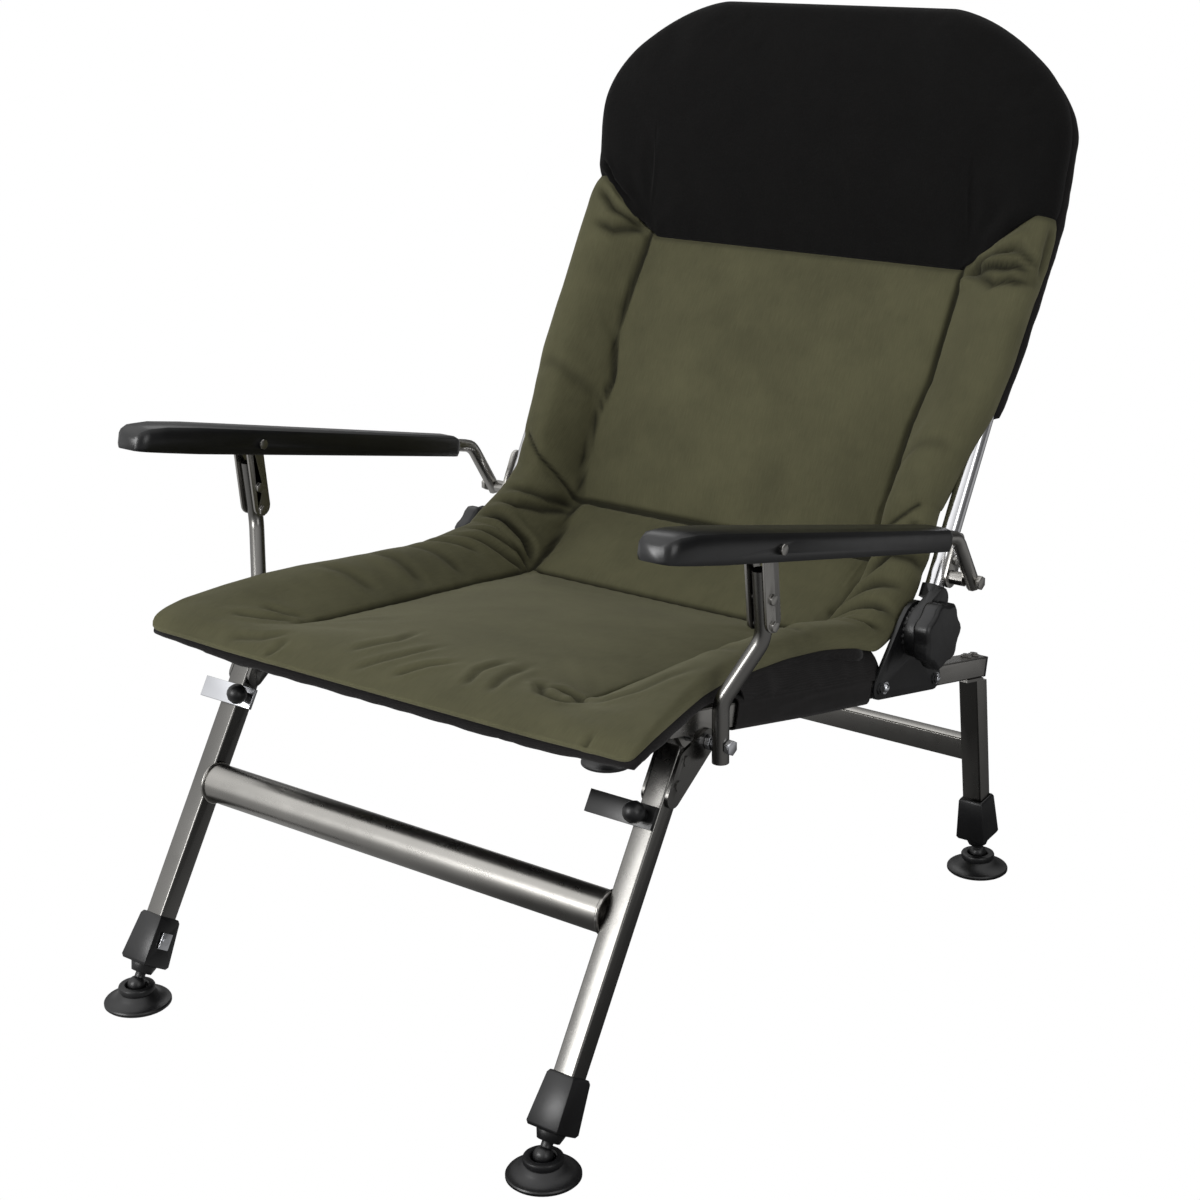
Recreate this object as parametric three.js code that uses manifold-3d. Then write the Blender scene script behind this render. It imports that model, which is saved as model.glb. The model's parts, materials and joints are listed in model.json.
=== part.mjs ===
// Folding fishing chair: square-tube frame, folding front legs, four telescopic legs with swivelling
// mud feet, reclining padded back with linked armrests. Millimetres, +Z up, the sitter faces -Y.
// X = 0 is the middle of the chair, Z = 0 the ground, and while it is built Y = 0 is midway
// between the front and rear ball joints.
import * as THREE from 'three';
import { mergeVertices } from 'three/addons/utils/BufferGeometryUtils.js';
import Module from 'manifold-3d';

const wasm = await Module();
wasm.setup();

// General sizes
const GAP = 0.3; // between neighbouring pieces
const HOLE_GAP = 0.3; // radial gap round a fixed bolt
const TURN_GAP = 0.12; // least gap between a turning pin's corners and its hole's flats
const OVERRUN = 4; // how far a cutter runs past the face it cuts
const MERGE = 0.0001; // vertices closer than this are one
const TUBE = 21; // square tube of rails and legs
const TUBE_WALL = 1.5;

// Side rails
const RAIL_SPACING = 498.6; // between centre lines
const RAIL_PITCH = 11.3; // degrees, falling to the rear
const RAIL_REAR_Y = 345;
const RAIL_REAR_Z = 238;
const RAIL_CAP_THICKNESS = 5;
const RAIL_CAP_PLUG = 14;

// Front edge tube of the seat
const FRONT_TUBE_REACH = 57; // from the rail ends to the tube's centre line
const FRONT_TUBE_DROP = 21;
const FRONT_TUBE_FLARE = 14; // each side, outside the rails
const FRONT_TUBE_SPIGOT = 42;
const FRONT_TUBE_WALL = 1.5;
const FRONT_TUBE_NECK_BEND = 26;
const FRONT_TUBE_CORNER_BEND = 20;
const HEM_WALL = 3; // cloth hem round the front tube
const HEM_HALF_LENGTH = 232;

// Legs and feet
const FOOT_SPREAD = 734.5; // between front and rear ball joints
const BALL_HEIGHT = 19;
const FRONT_LEAN = 32; // degrees from upright
const REAR_LEAN = 7.4;
const FRONT_LEG_TOP = 355; // from the ball, along the leg
const REAR_LEG_TOP = 250; // before it is cut to the rail
const LEG_TUBE_START = 29;
const FRONT_CROSSBAR_DIAMETER = 38;
const FRONT_CROSSBAR_WALL = 1.6;
const FRONT_CROSSBAR_FROM_BALL = 205;
const REAR_CROSSBAR_HEIGHT = 25;
const REAR_CROSSBAR_DEPTH = 14;
const REAR_CROSSBAR_FROM_BALL = 125;
const COLLAR_START = 21;
const COLLAR_LENGTH = 48;
const COLLAR_BOTTOM = 33;
const COLLAR_TOP = 27.5;
const COLLAR_CHAMFER = 3;
const STEM_LENGTH = 150;
const STEM_NECK_TOP = 26;
const STEM_NECK_BOTTOM = 20;
const STEM_NECK_START = 12.5;
const BALL_DIAMETER = 18;
const BALL_PIN = 10;
const MUD_FOOT_DIAMETER = 64;
const MUD_FOOT_RIM = 4.5;
const MUD_FOOT_BOSS = 35;
const MUD_FOOT_BOSS_EDGE = 3;
const MUD_FOOT_TOP_CHAMFER = 1.5;
const BUTTON_DIAMETER = 8;
const BUTTON_PROUD = 3;
const BUTTON_STROKE = 2.4;
const BUTTON_FROM_BALL = 47;

// Front leg pivot
const PIVOT_FROM_REAR = 504; // along the rail
const RAIL_BEYOND_PIVOT = 52;
const PIVOT_DROP = 18.2; // below the rail's centre line
const PIVOT_BOLT = 8;
const PIVOT_HEAD = 14;
const PIVOT_HEAD_HEIGHT = 5;
const HANGER_EYE = 10;
const HANGER_FOOT = 18;
const HANGER_WALL = 3;
const GUSSET_THICKNESS = 3;
const GUSSET_EYE = 11.5;
const GUSSET_FOOT_RADIUS = 10;
const GUSSET_REACH = 42; // down the leg
const GUSSET_RIVETS_FROM_TOP = [10, 32];
const GUSSET_RIVET = 6;
const GUSSET_RIVET_HEAD = 10;
const GUSSET_RIVET_HEAD_HEIGHT = 1.5;
const SADDLE_LENGTH = 34; // plate on top of a rear leg, under the rail
const SADDLE_THICKNESS = 3;

// Latch bars on the front legs
const LATCH_FROM_BALL = 290;
const LATCH_WIDTH = 20;
const LATCH_THICKNESS = 4;
const LATCH_STANDOFF = 1.2;
const LATCH_LEFT_FROM = -34; // from the leg's centre, along X
const LATCH_LEFT_TO = 33;
const LATCH_LEFT_KNOB = 27;
const LATCH_RIGHT_FROM = -59;
const LATCH_RIGHT_TO = 11;
const LATCH_RIGHT_KNOB = 0;
const LATCH_SCREW_OFFSET = -16;
const LATCH_BALL = 20;
const LATCH_NECK = 10;
const LATCH_NECK_LENGTH = 5;

// Back hinge
const HINGE_Y = 190;
const HINGE_Z = 323;
const HINGE_PLATE_THICKNESS = 4.5;
const HINGE_PLATE_RADIUS = 29;
const HINGE_EAR = 11;
const HINGE_BOLT_FRONT_Y = 128;
const HINGE_BOLT_REAR_Y = 232;
const RATCHET_THICKNESS = 2.5;
const RATCHET_RADIUS = 25.5;
const RATCHET_TOOTH = 1.8;
const RATCHET_TEETH = 24;
const HINGE_PIN = 10;
const HINGE_PIN_HEAD = 18;
const HINGE_PIN_HEAD_HEIGHT = 3.2;
const HINGE_ARM_RADIUS = 26;
const SOCKET_WALL = 2.7;
const SOCKET_LENGTH = 13;
const SPIGOT_LENGTH = 38; // inside the back tube
const KNOB_RADIUS = 34;
const KNOB_THICKNESS = 19;
const KNOB_LOBES = 7;
const KNOB_LOBE_DEPTH = 4.5;
const KNOB_BEVEL = 3;
const KNOB_CAP = 4;

// Back frame
const BACK_TUBE = 19;
const BACK_TUBE_WALL = 1.5;
const BACK_SPACING = 532; // between centre lines
const BACK_ANGLE = 60; // degrees above level
const BACK_OFFSET = 10.5; // behind the hinge
const SOCKET_START = 34.4; // along the back tube, from the point nearest the hinge
const HEAD_BEND_AT = 429.8;
const HEAD_ANGLE = 77;
const HEAD_LENGTH = 180.7;
const HEAD_BEND_RADIUS = 190;
const HEAD_CORNER_RADIUS = 150;

// Armrests and their links
const ARM_SPACING = 602.6;
const RIVET_Y = -133;
const RIVET_Z = 495;
const ARM_PITCH = 13.4; // degrees, falling to the rear
const ARM_WIDTH = 44;
const ARM_REAR_WIDTH = 35;
const ARM_FRONT_FROM_RIVET = 152;
const ARM_REAR_FROM_RIVET = 302;
const ARM_THICKNESS = 27;
const ARM_REAR_THICKNESS = 21.5;
const ARM_ABOVE_RIVET = 14.8;
const ARM_SLOT_LENGTH = 62;
const ARM_SLOT_ABOVE_RIVET = 12.2;
const ARM_TUBE = 14;
const ARM_TUBE_INSERT = 70;
const ARM_TUBE_KNEE = 38; // beyond the armrest's rear end
const ARM_TUBE_BEND = 24;
const LINK_Y = 232; // rear pivot of the arm tube
const LINK_Z = 368;
const LINK_BOLT = 7;
const LINK_BOLT_HEAD = 14;
const LINK_BOLT_HEAD_HEIGHT = 4;
const RIVET_DIAMETER = 6;
const RIVET_HEAD = 10;
const RIVET_HEAD_HEIGHT = 2;
const STRUT = 15;
const STRUT_FOOT_SPACING = 552; // between the lower ends of the two struts
const STRUT_BELOW_PIVOT = 16;
const STRUT_LOWER = 38; // straight, above the pivot
const STRUT_UPPER_Z = 412;
const STRUT_TOP_Z = 474;
const STRUT_UPPER_LEAN = 6; // rearward set of the upper straight's lower end
const STRUT_BEND = 30;
const CHANNEL_THICKNESS = 2.5;
const CHANNEL_BOTTOM_Z = 419;
const CHANNEL_WEB_TOP_Z = 470;
const STRUT_BOLT_ZS = [425, 449];
const STRUT_BOLT = 6;
const STRUT_BOLT_HEAD = 10;
const STRUT_BOLT_HEAD_HEIGHT = 3;
const BRACKET_THICKNESS = 3.5;
const BRACKET_EYE = 11;
const BRACKET_LENGTH = 34;
const BRACKET_BOSS = 14;
const BRACKET_BOLTS_AT = [16, 28]; // along the tube, above the link pivot
const SMALL_BOLT = 6;
const SMALL_BOLT_HEAD = 12;
const SMALL_BOLT_HEAD_HEIGHT = 3;
const SMALL_BOLT_CHAMFER = 2;
const REAR_BOLTS_FROM_END = [8, 24];

// Soft parts
const SLEEVE_WALL = 2.5;
const SLEEVE_FRONT_Y = -105;
const SLEEVE_REAR_Y = 113;
const SEAT_FRONT_Y = -288;
const SEAT_REAR_Y = 163;
const SEAT_FRONT_Z = 357;
const SEAT_REAR_Z = 316;
const SEAT_CROWN = 9;
const SEAT_BOLSTER = 17;
const SEAT_THICKNESS = 32;
const SEAT_UNDERSIDE = 2; // below the rails' centre line, between the rails
const SEAT_FRONT_HALF_WIDTH = 286;
const SEAT_WAIST_Y = -120;
const CHANNEL_HALF_WIDTH = 7; // sewn channels
const CHANNEL_DEPTH = 4;
const SEAT_CHANNEL_X = 183;
const BACK_CHANNEL_X = 190;
const LUMBAR_START = -12; // along the back tube
const LUMBAR_END = 67;
const LUMBAR_START_RISE = 20; // front of the tube's plane
const LUMBAR_THICKNESS = 22;
const BACK_PAD_END = 368;
const BACK_PAD_SETBACK = 13; // behind the tube's plane at the lumbar seam
const BACK_PAD_THICKNESS = 26;
const PAD_HINGE_CLEARANCE = 13; // beside the hinge plates
const BACK_PAD_LOW_END = 110;
const BACK_PAD_FULL_AT = 215;
const HEAD_PAD_THICKNESS = 26;
const HEAD_PAD_MARGIN = 17; // outside the tube's centre line
const HEAD_PAD_RISE = 22;
const PAD_OVER_TUBE = 13;
const PAD_HUG = 4; // depth of the groove where a pad lies on the tube
const PAD_BESIDE_TUBE = 2.5; // outside the back tubes
const PAD_CROWN = 5;
const PAD_SHOULDER_X = 200; // where the back pads start to rise over the tubes
const PAD_SHOULDER_WIDTH = 54;
const PAD_PULL_IN = 4; // sides drawn in between the corners

// Shares, counts and directions
const PIN_SIDES = 8;
const ROUND_SIDES = 12;
const LARGE_ROUND_SIDES = 20;
const TUBE_SIDES = 10;
const HULL_SIDES = 9; // to half a turn
const BEND_STEPS = 4;
const DOME_STEPS = 3;
const CUP_STEPS = 4;
const BALL_RINGS = 8;
const KNOB_LOBE_STEPS = 5;
const HEX = 6;
const SIDES = { left: -1, right: 1 };
const ARM_SECTION_SHARES = [
  [0, 1], [0.55, 1], [0.86, 0.93], [1, 0.72], [1, 0.2], [0.9, 0], [0, 0],
];
const ARM_LENGTH_SHARES = [0, 0.012, 0.3, 0.62, 0.84, 0.93, 0.975, 0.993, 1];
const ARM_WIDTH_SHARES = [0.9, 1, 1, 1, 1, 0.97, 0.88, 0.74, 0.5];
const ARM_HEIGHT_SHARES = [0.9, 1, 1, 1, 1, 0.96, 0.86, 0.72, 0.5];
const PAD_COLUMN_SHARES = [0, 0.3, 0.55, 0.635, 0.665, 0.695, 0.8, 0.9, 0.955, 0.985, 1];
const PAD_ROW_SHARES = [0, 0.35, 0.62, 0.82, 0.93, 0.98, 1];
const RIM_HEIGHT_SHARE = 0.45;

// Derived places
const { degToRad: deg, lerp, smoothstep } = THREE.MathUtils;
const half = (size) => size / 2;
const pinHole = (size) => (half(size) + TURN_GAP) / Math.cos(Math.PI / PIN_SIDES);
const RAIL_X = half(RAIL_SPACING);
const ALONG_RAIL = new THREE.Vector2(-Math.cos(deg(RAIL_PITCH)), Math.sin(deg(RAIL_PITCH)));
const ABOVE_RAIL = new THREE.Vector2(Math.sin(deg(RAIL_PITCH)), Math.cos(deg(RAIL_PITCH)));
const RAIL_LENGTH = PIVOT_FROM_REAR + RAIL_BEYOND_PIVOT;
const SEAT_REAR_HALF_WIDTH = half(RAIL_SPACING) - GAP;
const RAIL_REAR = new THREE.Vector2(RAIL_REAR_Y, RAIL_REAR_Z);
const railPoint = (along, above = 0) => RAIL_REAR.clone()
  .addScaledVector(ALONG_RAIL, along).addScaledVector(ABOVE_RAIL, above);
const railAlongAt = (y) => (RAIL_REAR_Y - y) / Math.cos(deg(RAIL_PITCH));
const railTopZ = (y) => railPoint(railAlongAt(y)).y + half(TUBE) / Math.cos(deg(RAIL_PITCH));
const PIVOT = railPoint(PIVOT_FROM_REAR, -PIVOT_DROP);
const HINGE = new THREE.Vector2(HINGE_Y, HINGE_Z);
const RIVET = new THREE.Vector2(RIVET_Y, RIVET_Z);
const LINK = new THREE.Vector2(LINK_Y, LINK_Z);
const ARM_X = half(ARM_SPACING);
const BACK_X = half(BACK_SPACING);
const STRUT_X = half(STRUT_FOOT_SPACING);
const BORE = TUBE - TUBE_WALL - TUBE_WALL;
const STEM = BORE - GAP - GAP;

// Stack of the hinge, outward from the rail
const PLATE_X = RAIL_X + half(TUBE) + GAP;
const LUMBAR_HALF_WIDTH = PLATE_X - PAD_HINGE_CLEARANCE;
const RATCHET_X = PLATE_X + HINGE_PLATE_THICKNESS;
const HINGE_ARM_X = RATCHET_X + RATCHET_THICKNESS + GAP;
const HINGE_ARM_THICKNESS = BACK_X + half(BACK_TUBE) + SOCKET_WALL + GAP - HINGE_ARM_X;
const KNOB_X = HINGE_ARM_X + HINGE_ARM_THICKNESS + GAP;
const BRACKET_X = BACK_X + half(BACK_TUBE) + GAP;
const GUSSET_X = RAIL_X + half(TUBE) + GAP;

// Line of the back tubes in the side view
const BACK_DIRECTION = new THREE.Vector2(Math.cos(deg(BACK_ANGLE)), Math.sin(deg(BACK_ANGLE)));
const HEAD_DIRECTION = new THREE.Vector2(Math.cos(deg(HEAD_ANGLE)), Math.sin(deg(HEAD_ANGLE)));
const forwardOf = (direction) => new THREE.Vector2(-direction.y, direction.x);
const BACK_FOOT = HINGE.clone().addScaledVector(forwardOf(BACK_DIRECTION), -BACK_OFFSET);
const HEAD_BEND = BACK_FOOT.clone().addScaledVector(BACK_DIRECTION, HEAD_BEND_AT);
const BACK_TOP_AT = HEAD_BEND_AT + HEAD_LENGTH;

function backPoint(along, forward = 0) {
  const bent = along > HEAD_BEND_AT;
  const direction = bent ? HEAD_DIRECTION : BACK_DIRECTION;
  const start = bent ? HEAD_BEND : BACK_FOOT;
  const run = bent ? along - HEAD_BEND_AT : along;
  return start.clone().addScaledVector(direction, run).addScaledVector(forwardOf(direction), forward);
}

const legs = {
  front: { ballY: -half(FOOT_SPREAD), lean: deg(FRONT_LEAN) },
  rear: { ballY: half(FOOT_SPREAD), lean: -deg(REAR_LEAN) },
};

function legPoint(leg, along, ahead = 0) {
  const up = new THREE.Vector2(Math.sin(leg.lean), Math.cos(leg.lean));
  return new THREE.Vector2(leg.ballY, BALL_HEIGHT)
    .addScaledVector(up, along).addScaledVector(forwardOf(up), ahead);
}

// Materials
const paint = (color, metalness, roughness) => (
  new THREE.MeshStandardMaterial({ color, metalness, roughness }));
const graphiteMetal = paint(0x7a7875, 0.85, 0.35);
const brightSteel = paint(0xc4c4c6, 0.9, 0.25);
const zinc = paint(0xb9bcc2, 0.9, 0.3);
const blackPlastic = paint(0x151516, 0, 0.5);
const armPlastic = paint(0x1d1e20, 0, 0.45);
const blackFabric = paint(0x131313, 0, 0.95);
const fleece = paint(0x110f0e, 0, 1);
const oliveFabric = paint(0x58583f, 0, 0.85);

// Geometry helpers
function toSolid(geometry) {
  const bare = geometry.clone();
  bare.deleteAttribute('normal');
  bare.deleteAttribute('uv');
  const merged = mergeVertices(bare, MERGE);
  const corners = Array.from(merged.index.array);
  const kept = [];
  for (let i = 0; i < corners.length; i += 3) {
    const [a, b, c] = corners.slice(i, i + 3);
    if (a !== b && b !== c && c !== a) kept.push(a, b, c);
  }
  return new wasm.Manifold(new wasm.Mesh({
    numProp: 3,
    vertProperties: new Float32Array(merged.attributes.position.array),
    triVerts: new Uint32Array(kept),
  }));
}

function toGeometry(solid) {
  const { vertProperties, triVerts } = solid.getMesh();
  const geometry = new THREE.BufferGeometry();
  geometry.setAttribute('position', new THREE.BufferAttribute(vertProperties, 3));
  geometry.setIndex(new THREE.BufferAttribute(triVerts, 1));
  geometry.computeVertexNormals();
  return geometry;
}

const cut = (geometry, ...cutters) => toGeometry(
  cutters.reduce((solid, cutter) => solid.subtract(toSolid(cutter)), toSolid(geometry)));
const join = (geometry, ...others) => toGeometry(
  others.reduce((solid, other) => solid.add(toSolid(other)), toSolid(geometry)));

// Turns a shape drawn in the side view (Y, Z) and extruded by depth so that it lies along X.
const SIDE_VIEW = new THREE.Matrix4().makeBasis(
  new THREE.Vector3(0, 1, 0), new THREE.Vector3(0, 0, 1), new THREE.Vector3(1, 0, 0));

function sidePlate(shape, x, depth, bevel = 0) {
  const geometry = new THREE.ExtrudeGeometry(shape, {
    depth: depth - bevel - bevel,
    curveSegments: HULL_SIDES,
    bevelEnabled: bevel > 0,
    bevelSize: bevel,
    bevelOffset: -bevel,
    bevelThickness: bevel,
    bevelSegments: 1,
  });
  return geometry.applyMatrix4(SIDE_VIEW).translate(x + bevel, 0, 0);
}

// Mirrors a piece of the right-hand side to the side asked for.
function onSide(geometry, side) {
  if (side > 0) return geometry;
  const mirrored = geometry.index ? geometry.toNonIndexed() : geometry.clone();
  const { position } = mirrored.attributes;
  for (let i = 0; i < position.count; i += 1) position.setX(i, -position.getX(i));
  for (let i = 0; i < position.count; i += 3) {
    const swap = [position.getX(i), position.getY(i), position.getZ(i)];
    position.setXYZ(i, position.getX(i + 1), position.getY(i + 1), position.getZ(i + 1));
    position.setXYZ(i + 1, ...swap);
  }
  mirrored.computeVertexNormals();
  return mirrored;
}

function convexHull(points) {
  const sorted = [...points].sort((a, b) => a.x - b.x || a.y - b.y);
  const turn = (o, a, b) => (a.x - o.x) * (b.y - o.y) - (a.y - o.y) * (b.x - o.x);
  const chain = (list) => {
    const kept = [];
    list.forEach((point) => {
      while (kept.length > 1 && turn(kept.at(-2), kept.at(-1), point) <= 0) kept.pop();
      kept.push(point);
    });
    return kept.slice(0, -1);
  };
  return [...chain(sorted), ...chain(sorted.reverse())];
}

// Outline that a band takes when it is pulled round circles given as [centre, radius].
function hullShape(circles) {
  const points = circles.flatMap(([centre, radius]) => (
    Array.from({ length: HULL_SIDES + HULL_SIDES }, (_, i) => {
      const angle = (Math.PI * i) / HULL_SIDES;
      return new THREE.Vector2(Math.cos(angle), Math.sin(angle)).multiplyScalar(radius).add(centre);
    })));
  return new THREE.Shape(convexHull(points));
}

function rectangle(width, height) {
  const [x, y] = [half(width), half(height)];
  return new THREE.Shape([[-x, -y], [x, -y], [x, y], [-x, y]].map((p) => new THREE.Vector2(...p)));
}

function circle(radius, sides) {
  return new THREE.Shape(Array.from({ length: sides }, (_, i) => {
    const angle = (2 * Math.PI * (i + 0.5)) / sides;
    return new THREE.Vector2(radius * Math.cos(angle), radius * Math.sin(angle));
  }));
}

function withHole(shape, hole) {
  shape.holes.push(new THREE.Path(hole.getPoints()));
  return shape;
}

function squareBar(side, from, to, bore = 0) {
  const section = bore ? withHole(rectangle(side, side), rectangle(bore, bore)) : rectangle(side, side);
  return new THREE.ExtrudeGeometry(section, { depth: to - from, bevelEnabled: false })
    .translate(0, 0, from);
}

// Round pin along X, centred in the side view on a point.
function pinAlongX(centre, radius, fromX, toX, sides = PIN_SIDES) {
  return new THREE.CylinderGeometry(radius, radius, toX - fromX, sides)
    .rotateZ(Math.PI / 2).translate(half(fromX + toX), centre.x, centre.y);
}

// Straight runs and round bends through corner points, with sections only where the line turns.
class BentPath extends THREE.Curve {
  constructor(corners, radii) {
    super();
    this.stations = [{ point: corners[0], tangent: corners[1].clone().sub(corners[0]).normalize() }];
    corners.slice(1, -1).forEach((corner, i) => this.addBend(corners[i], corner, corners[i + 2], radii[i]));
    const end = corners.at(-1);
    this.stations.push({ point: end, tangent: end.clone().sub(corners.at(-2)).normalize() });
  }

  addBend(before, corner, after, radius) {
    const entry = corner.clone().sub(before).normalize();
    const exit = after.clone().sub(corner).normalize();
    const angle = entry.angleTo(exit);
    const axis = entry.clone().cross(exit).normalize();
    const start = corner.clone().addScaledVector(entry, -radius * Math.tan(angle / 2));
    const centre = start.clone().addScaledVector(axis.clone().cross(entry), radius);
    for (let i = 0; i <= BEND_STEPS; i += 1) {
      const turned = (angle * i) / BEND_STEPS;
      this.stations.push({
        point: start.clone().sub(centre).applyAxisAngle(axis, turned).add(centre),
        tangent: entry.clone().applyAxisAngle(axis, turned),
      });
    }
  }

  get steps() {
    return this.stations.length - 1;
  }

  getPoint(share) {
    return this.stations[Math.round(share * this.steps)].point.clone();
  }

  getSpacedPoints() {
    return this.stations.map(({ point }) => point.clone());
  }

  computeFrenetFrames() {
    const tangents = this.stations.map(({ tangent }) => tangent.clone());
    const [first] = tangents;
    const helper = Math.abs(first.x) < 0.5 ? new THREE.Vector3(1, 0, 0) : new THREE.Vector3(0, 0, 1);
    const normals = [helper.cross(first).normalize()];
    const turn = new THREE.Quaternion();
    tangents.slice(1).forEach((tangent, i) => {
      turn.setFromUnitVectors(tangents[i], tangent);
      normals.push(normals[i].clone().applyQuaternion(turn));
    });
    const binormals = tangents.map((tangent, i) => tangent.clone().cross(normals[i]));
    return { tangents, normals, binormals };
  }
}

function bentTube(corners, radii, diameter, wall = 0, sides = TUBE_SIDES) {
  const path = new BentPath(corners, radii);
  const section = circle(half(diameter), sides);
  if (wall) withHole(section, circle(half(diameter) - wall, sides));
  return new THREE.ExtrudeGeometry(section, { steps: path.steps, extrudePath: path });
}

const inSpace = (x, sidePoint) => new THREE.Vector3(x, sidePoint.x, sidePoint.y);

// The assembly
const chair = new THREE.Group();

function place(name, geometry, material, parent = chair) {
  const mesh = new THREE.Mesh(geometry, material);
  mesh.name = name;
  parent.add(mesh);
  return mesh;
}

// A group whose +Z runs up a leg from its ball joint.
function legGroup(leg, side) {
  const group = new THREE.Group();
  group.position.set(side * RAIL_X, leg.ballY, BALL_HEIGHT);
  group.rotation.x = -leg.lean;
  chair.add(group);
  return group;
}

// Block that lies along a rail: its reach along it, its heights over the centre line, its place in X.
function railSlab(from, to, bottom, top, x, width) {
  const corners = [[from, bottom], [to, bottom], [to, top], [from, top]];
  return sidePlate(new THREE.Shape(corners.map(([along, above]) => railPoint(along, above))), x, width);
}

function railBlock(grown = 0, from = 0, to = RAIL_LENGTH) {
  const outer = TUBE + grown + grown;
  return railSlab(from, to, -half(outer), half(outer), RAIL_X - half(outer), outer);
}

// Round pin square to the rail, from a depth below a point to a height above it.
function acrossRail(point, radius, depth, height) {
  return new THREE.CylinderGeometry(radius, radius, depth + height, PIN_SIDES)
    .translate(0, half(height - depth), 0).rotateX(Math.PI / 2 - deg(RAIL_PITCH))
    .translate(RAIL_X, point.x, point.y);
}

function rearBoltPoints() {
  return REAR_BOLTS_FROM_END.map((along) => railPoint(along, half(TUBE) + GAP));
}

function hingeBoltPoints() {
  return [HINGE_BOLT_FRONT_Y, HINGE_BOLT_REAR_Y].map((y) => railPoint(railAlongAt(y)));
}

// Clevis under the rail that the front leg turns on, before its middle is cut away
function hanger() {
  const shape = hullShape([[PIVOT, HANGER_EYE],
    [railPoint(PIVOT_FROM_REAR - HANGER_FOOT), HANGER_EYE],
    [railPoint(PIVOT_FROM_REAR + HANGER_FOOT), HANGER_EYE]]);
  return sidePlate(shape, RAIL_X - half(TUBE), TUBE);
}

function hangerSlot() {
  const reach = HANGER_FOOT + HANGER_FOOT + HANGER_EYE;
  const width = TUBE - HANGER_WALL - HANGER_WALL;
  return railSlab(PIVOT_FROM_REAR - reach, PIVOT_FROM_REAR + reach, -TUBE - TUBE, -half(TUBE),
    RAIL_X - half(width), width);
}

function rail() {
  const bore = railBlock(-TUBE_WALL, -OVERRUN, RAIL_LENGTH + OVERRUN);
  const hole = half(SMALL_BOLT) + HOLE_GAP;
  const sideHoles = hingeBoltPoints().map((point) => (
    pinAlongX(point, hole, RAIL_X, RAIL_X + half(TUBE) + OVERRUN)));
  const studHoles = rearBoltPoints().map((point) => acrossRail(point, hole, TUBE + OVERRUN, OVERRUN));
  const pivotHole = pinAlongX(PIVOT, pinHole(PIVOT_BOLT), RAIL_X - TUBE, RAIL_X + TUBE);
  return cut(join(railBlock(), hanger()), bore, hangerSlot(), pivotHole, ...sideHoles, ...studHoles);
}

function railCap() {
  const plug = railBlock(-TUBE_WALL - GAP, -half(RAIL_CAP_THICKNESS), RAIL_CAP_PLUG);
  const cap = railBlock(0, -RAIL_CAP_THICKNESS, -GAP);
  const [rearmost] = rearBoltPoints();
  return cut(join(cap, plug), acrossRail(rearmost, half(SMALL_BOLT) + HOLE_GAP, TUBE + OVERRUN, OVERRUN));
}

function frontTubeCorners() {
  const neck = railPoint(RAIL_LENGTH + FRONT_TUBE_NECK_BEND);
  const edgeY = railPoint(RAIL_LENGTH).x - FRONT_TUBE_REACH;
  const edgeZ = railPoint(RAIL_LENGTH).y - FRONT_TUBE_DROP;
  const halfRoute = [
    inSpace(RAIL_X, railPoint(RAIL_LENGTH - FRONT_TUBE_SPIGOT)),
    inSpace(RAIL_X, neck),
    new THREE.Vector3(RAIL_X + FRONT_TUBE_FLARE, edgeY, edgeZ),
  ];
  const mirrored = halfRoute.map((p) => new THREE.Vector3(-p.x, p.y, p.z)).reverse();
  return [...halfRoute, ...mirrored];
}

const FRONT_TUBE_BENDS = [FRONT_TUBE_NECK_BEND, FRONT_TUBE_CORNER_BEND,
  FRONT_TUBE_CORNER_BEND, FRONT_TUBE_NECK_BEND];

function gusset(x) {
  const low = legPoint(legs.front, FRONT_LEG_TOP - GUSSET_REACH);
  const high = legPoint(legs.front, FRONT_LEG_TOP - GUSSET_FOOT_RADIUS);
  const shape = hullShape([[PIVOT, GUSSET_EYE], [low, GUSSET_FOOT_RADIUS], [high, GUSSET_FOOT_RADIUS]]);
  const plate = sidePlate(shape, x, GUSSET_THICKNESS);
  return cut(plate, pinAlongX(PIVOT, pinHole(PIVOT_BOLT),
    x - OVERRUN, x + GUSSET_THICKNESS + OVERRUN));
}

function pivotBolt() {
  const innerFace = RAIL_X + RAIL_X - GUSSET_X - GUSSET_THICKNESS - GAP;
  const outerFace = STRUT_X + half(STRUT) + GAP;
  const shaft = pinAlongX(PIVOT, half(PIVOT_BOLT), innerFace - PIVOT_HEAD_HEIGHT,
    outerFace + PIVOT_HEAD_HEIGHT);
  const head = pinAlongX(PIVOT, half(PIVOT_HEAD), innerFace - PIVOT_HEAD_HEIGHT, innerFace, HEX);
  const nut = pinAlongX(PIVOT, half(PIVOT_HEAD), outerFace, outerFace + PIVOT_HEAD_HEIGHT, HEX);
  const spacer = pinAlongX(PIVOT, half(PIVOT_HEAD), GUSSET_X + GUSSET_THICKNESS + GAP,
    STRUT_X - half(STRUT) - GAP);
  return join(shaft, head, nut, spacer);
}

function frontHem() {
  const tube = half(STEM) + GAP + GAP;
  const section = withHole(circle(tube + HEM_WALL, ROUND_SIDES), circle(tube, ROUND_SIDES));
  const { y, z } = frontTubeCorners()[2];
  return new THREE.ExtrudeGeometry(section, { depth: HEM_HALF_LENGTH + HEM_HALF_LENGTH, bevelEnabled: false })
    .applyMatrix4(SIDE_VIEW).translate(-HEM_HALF_LENGTH, y, z);
}

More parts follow.
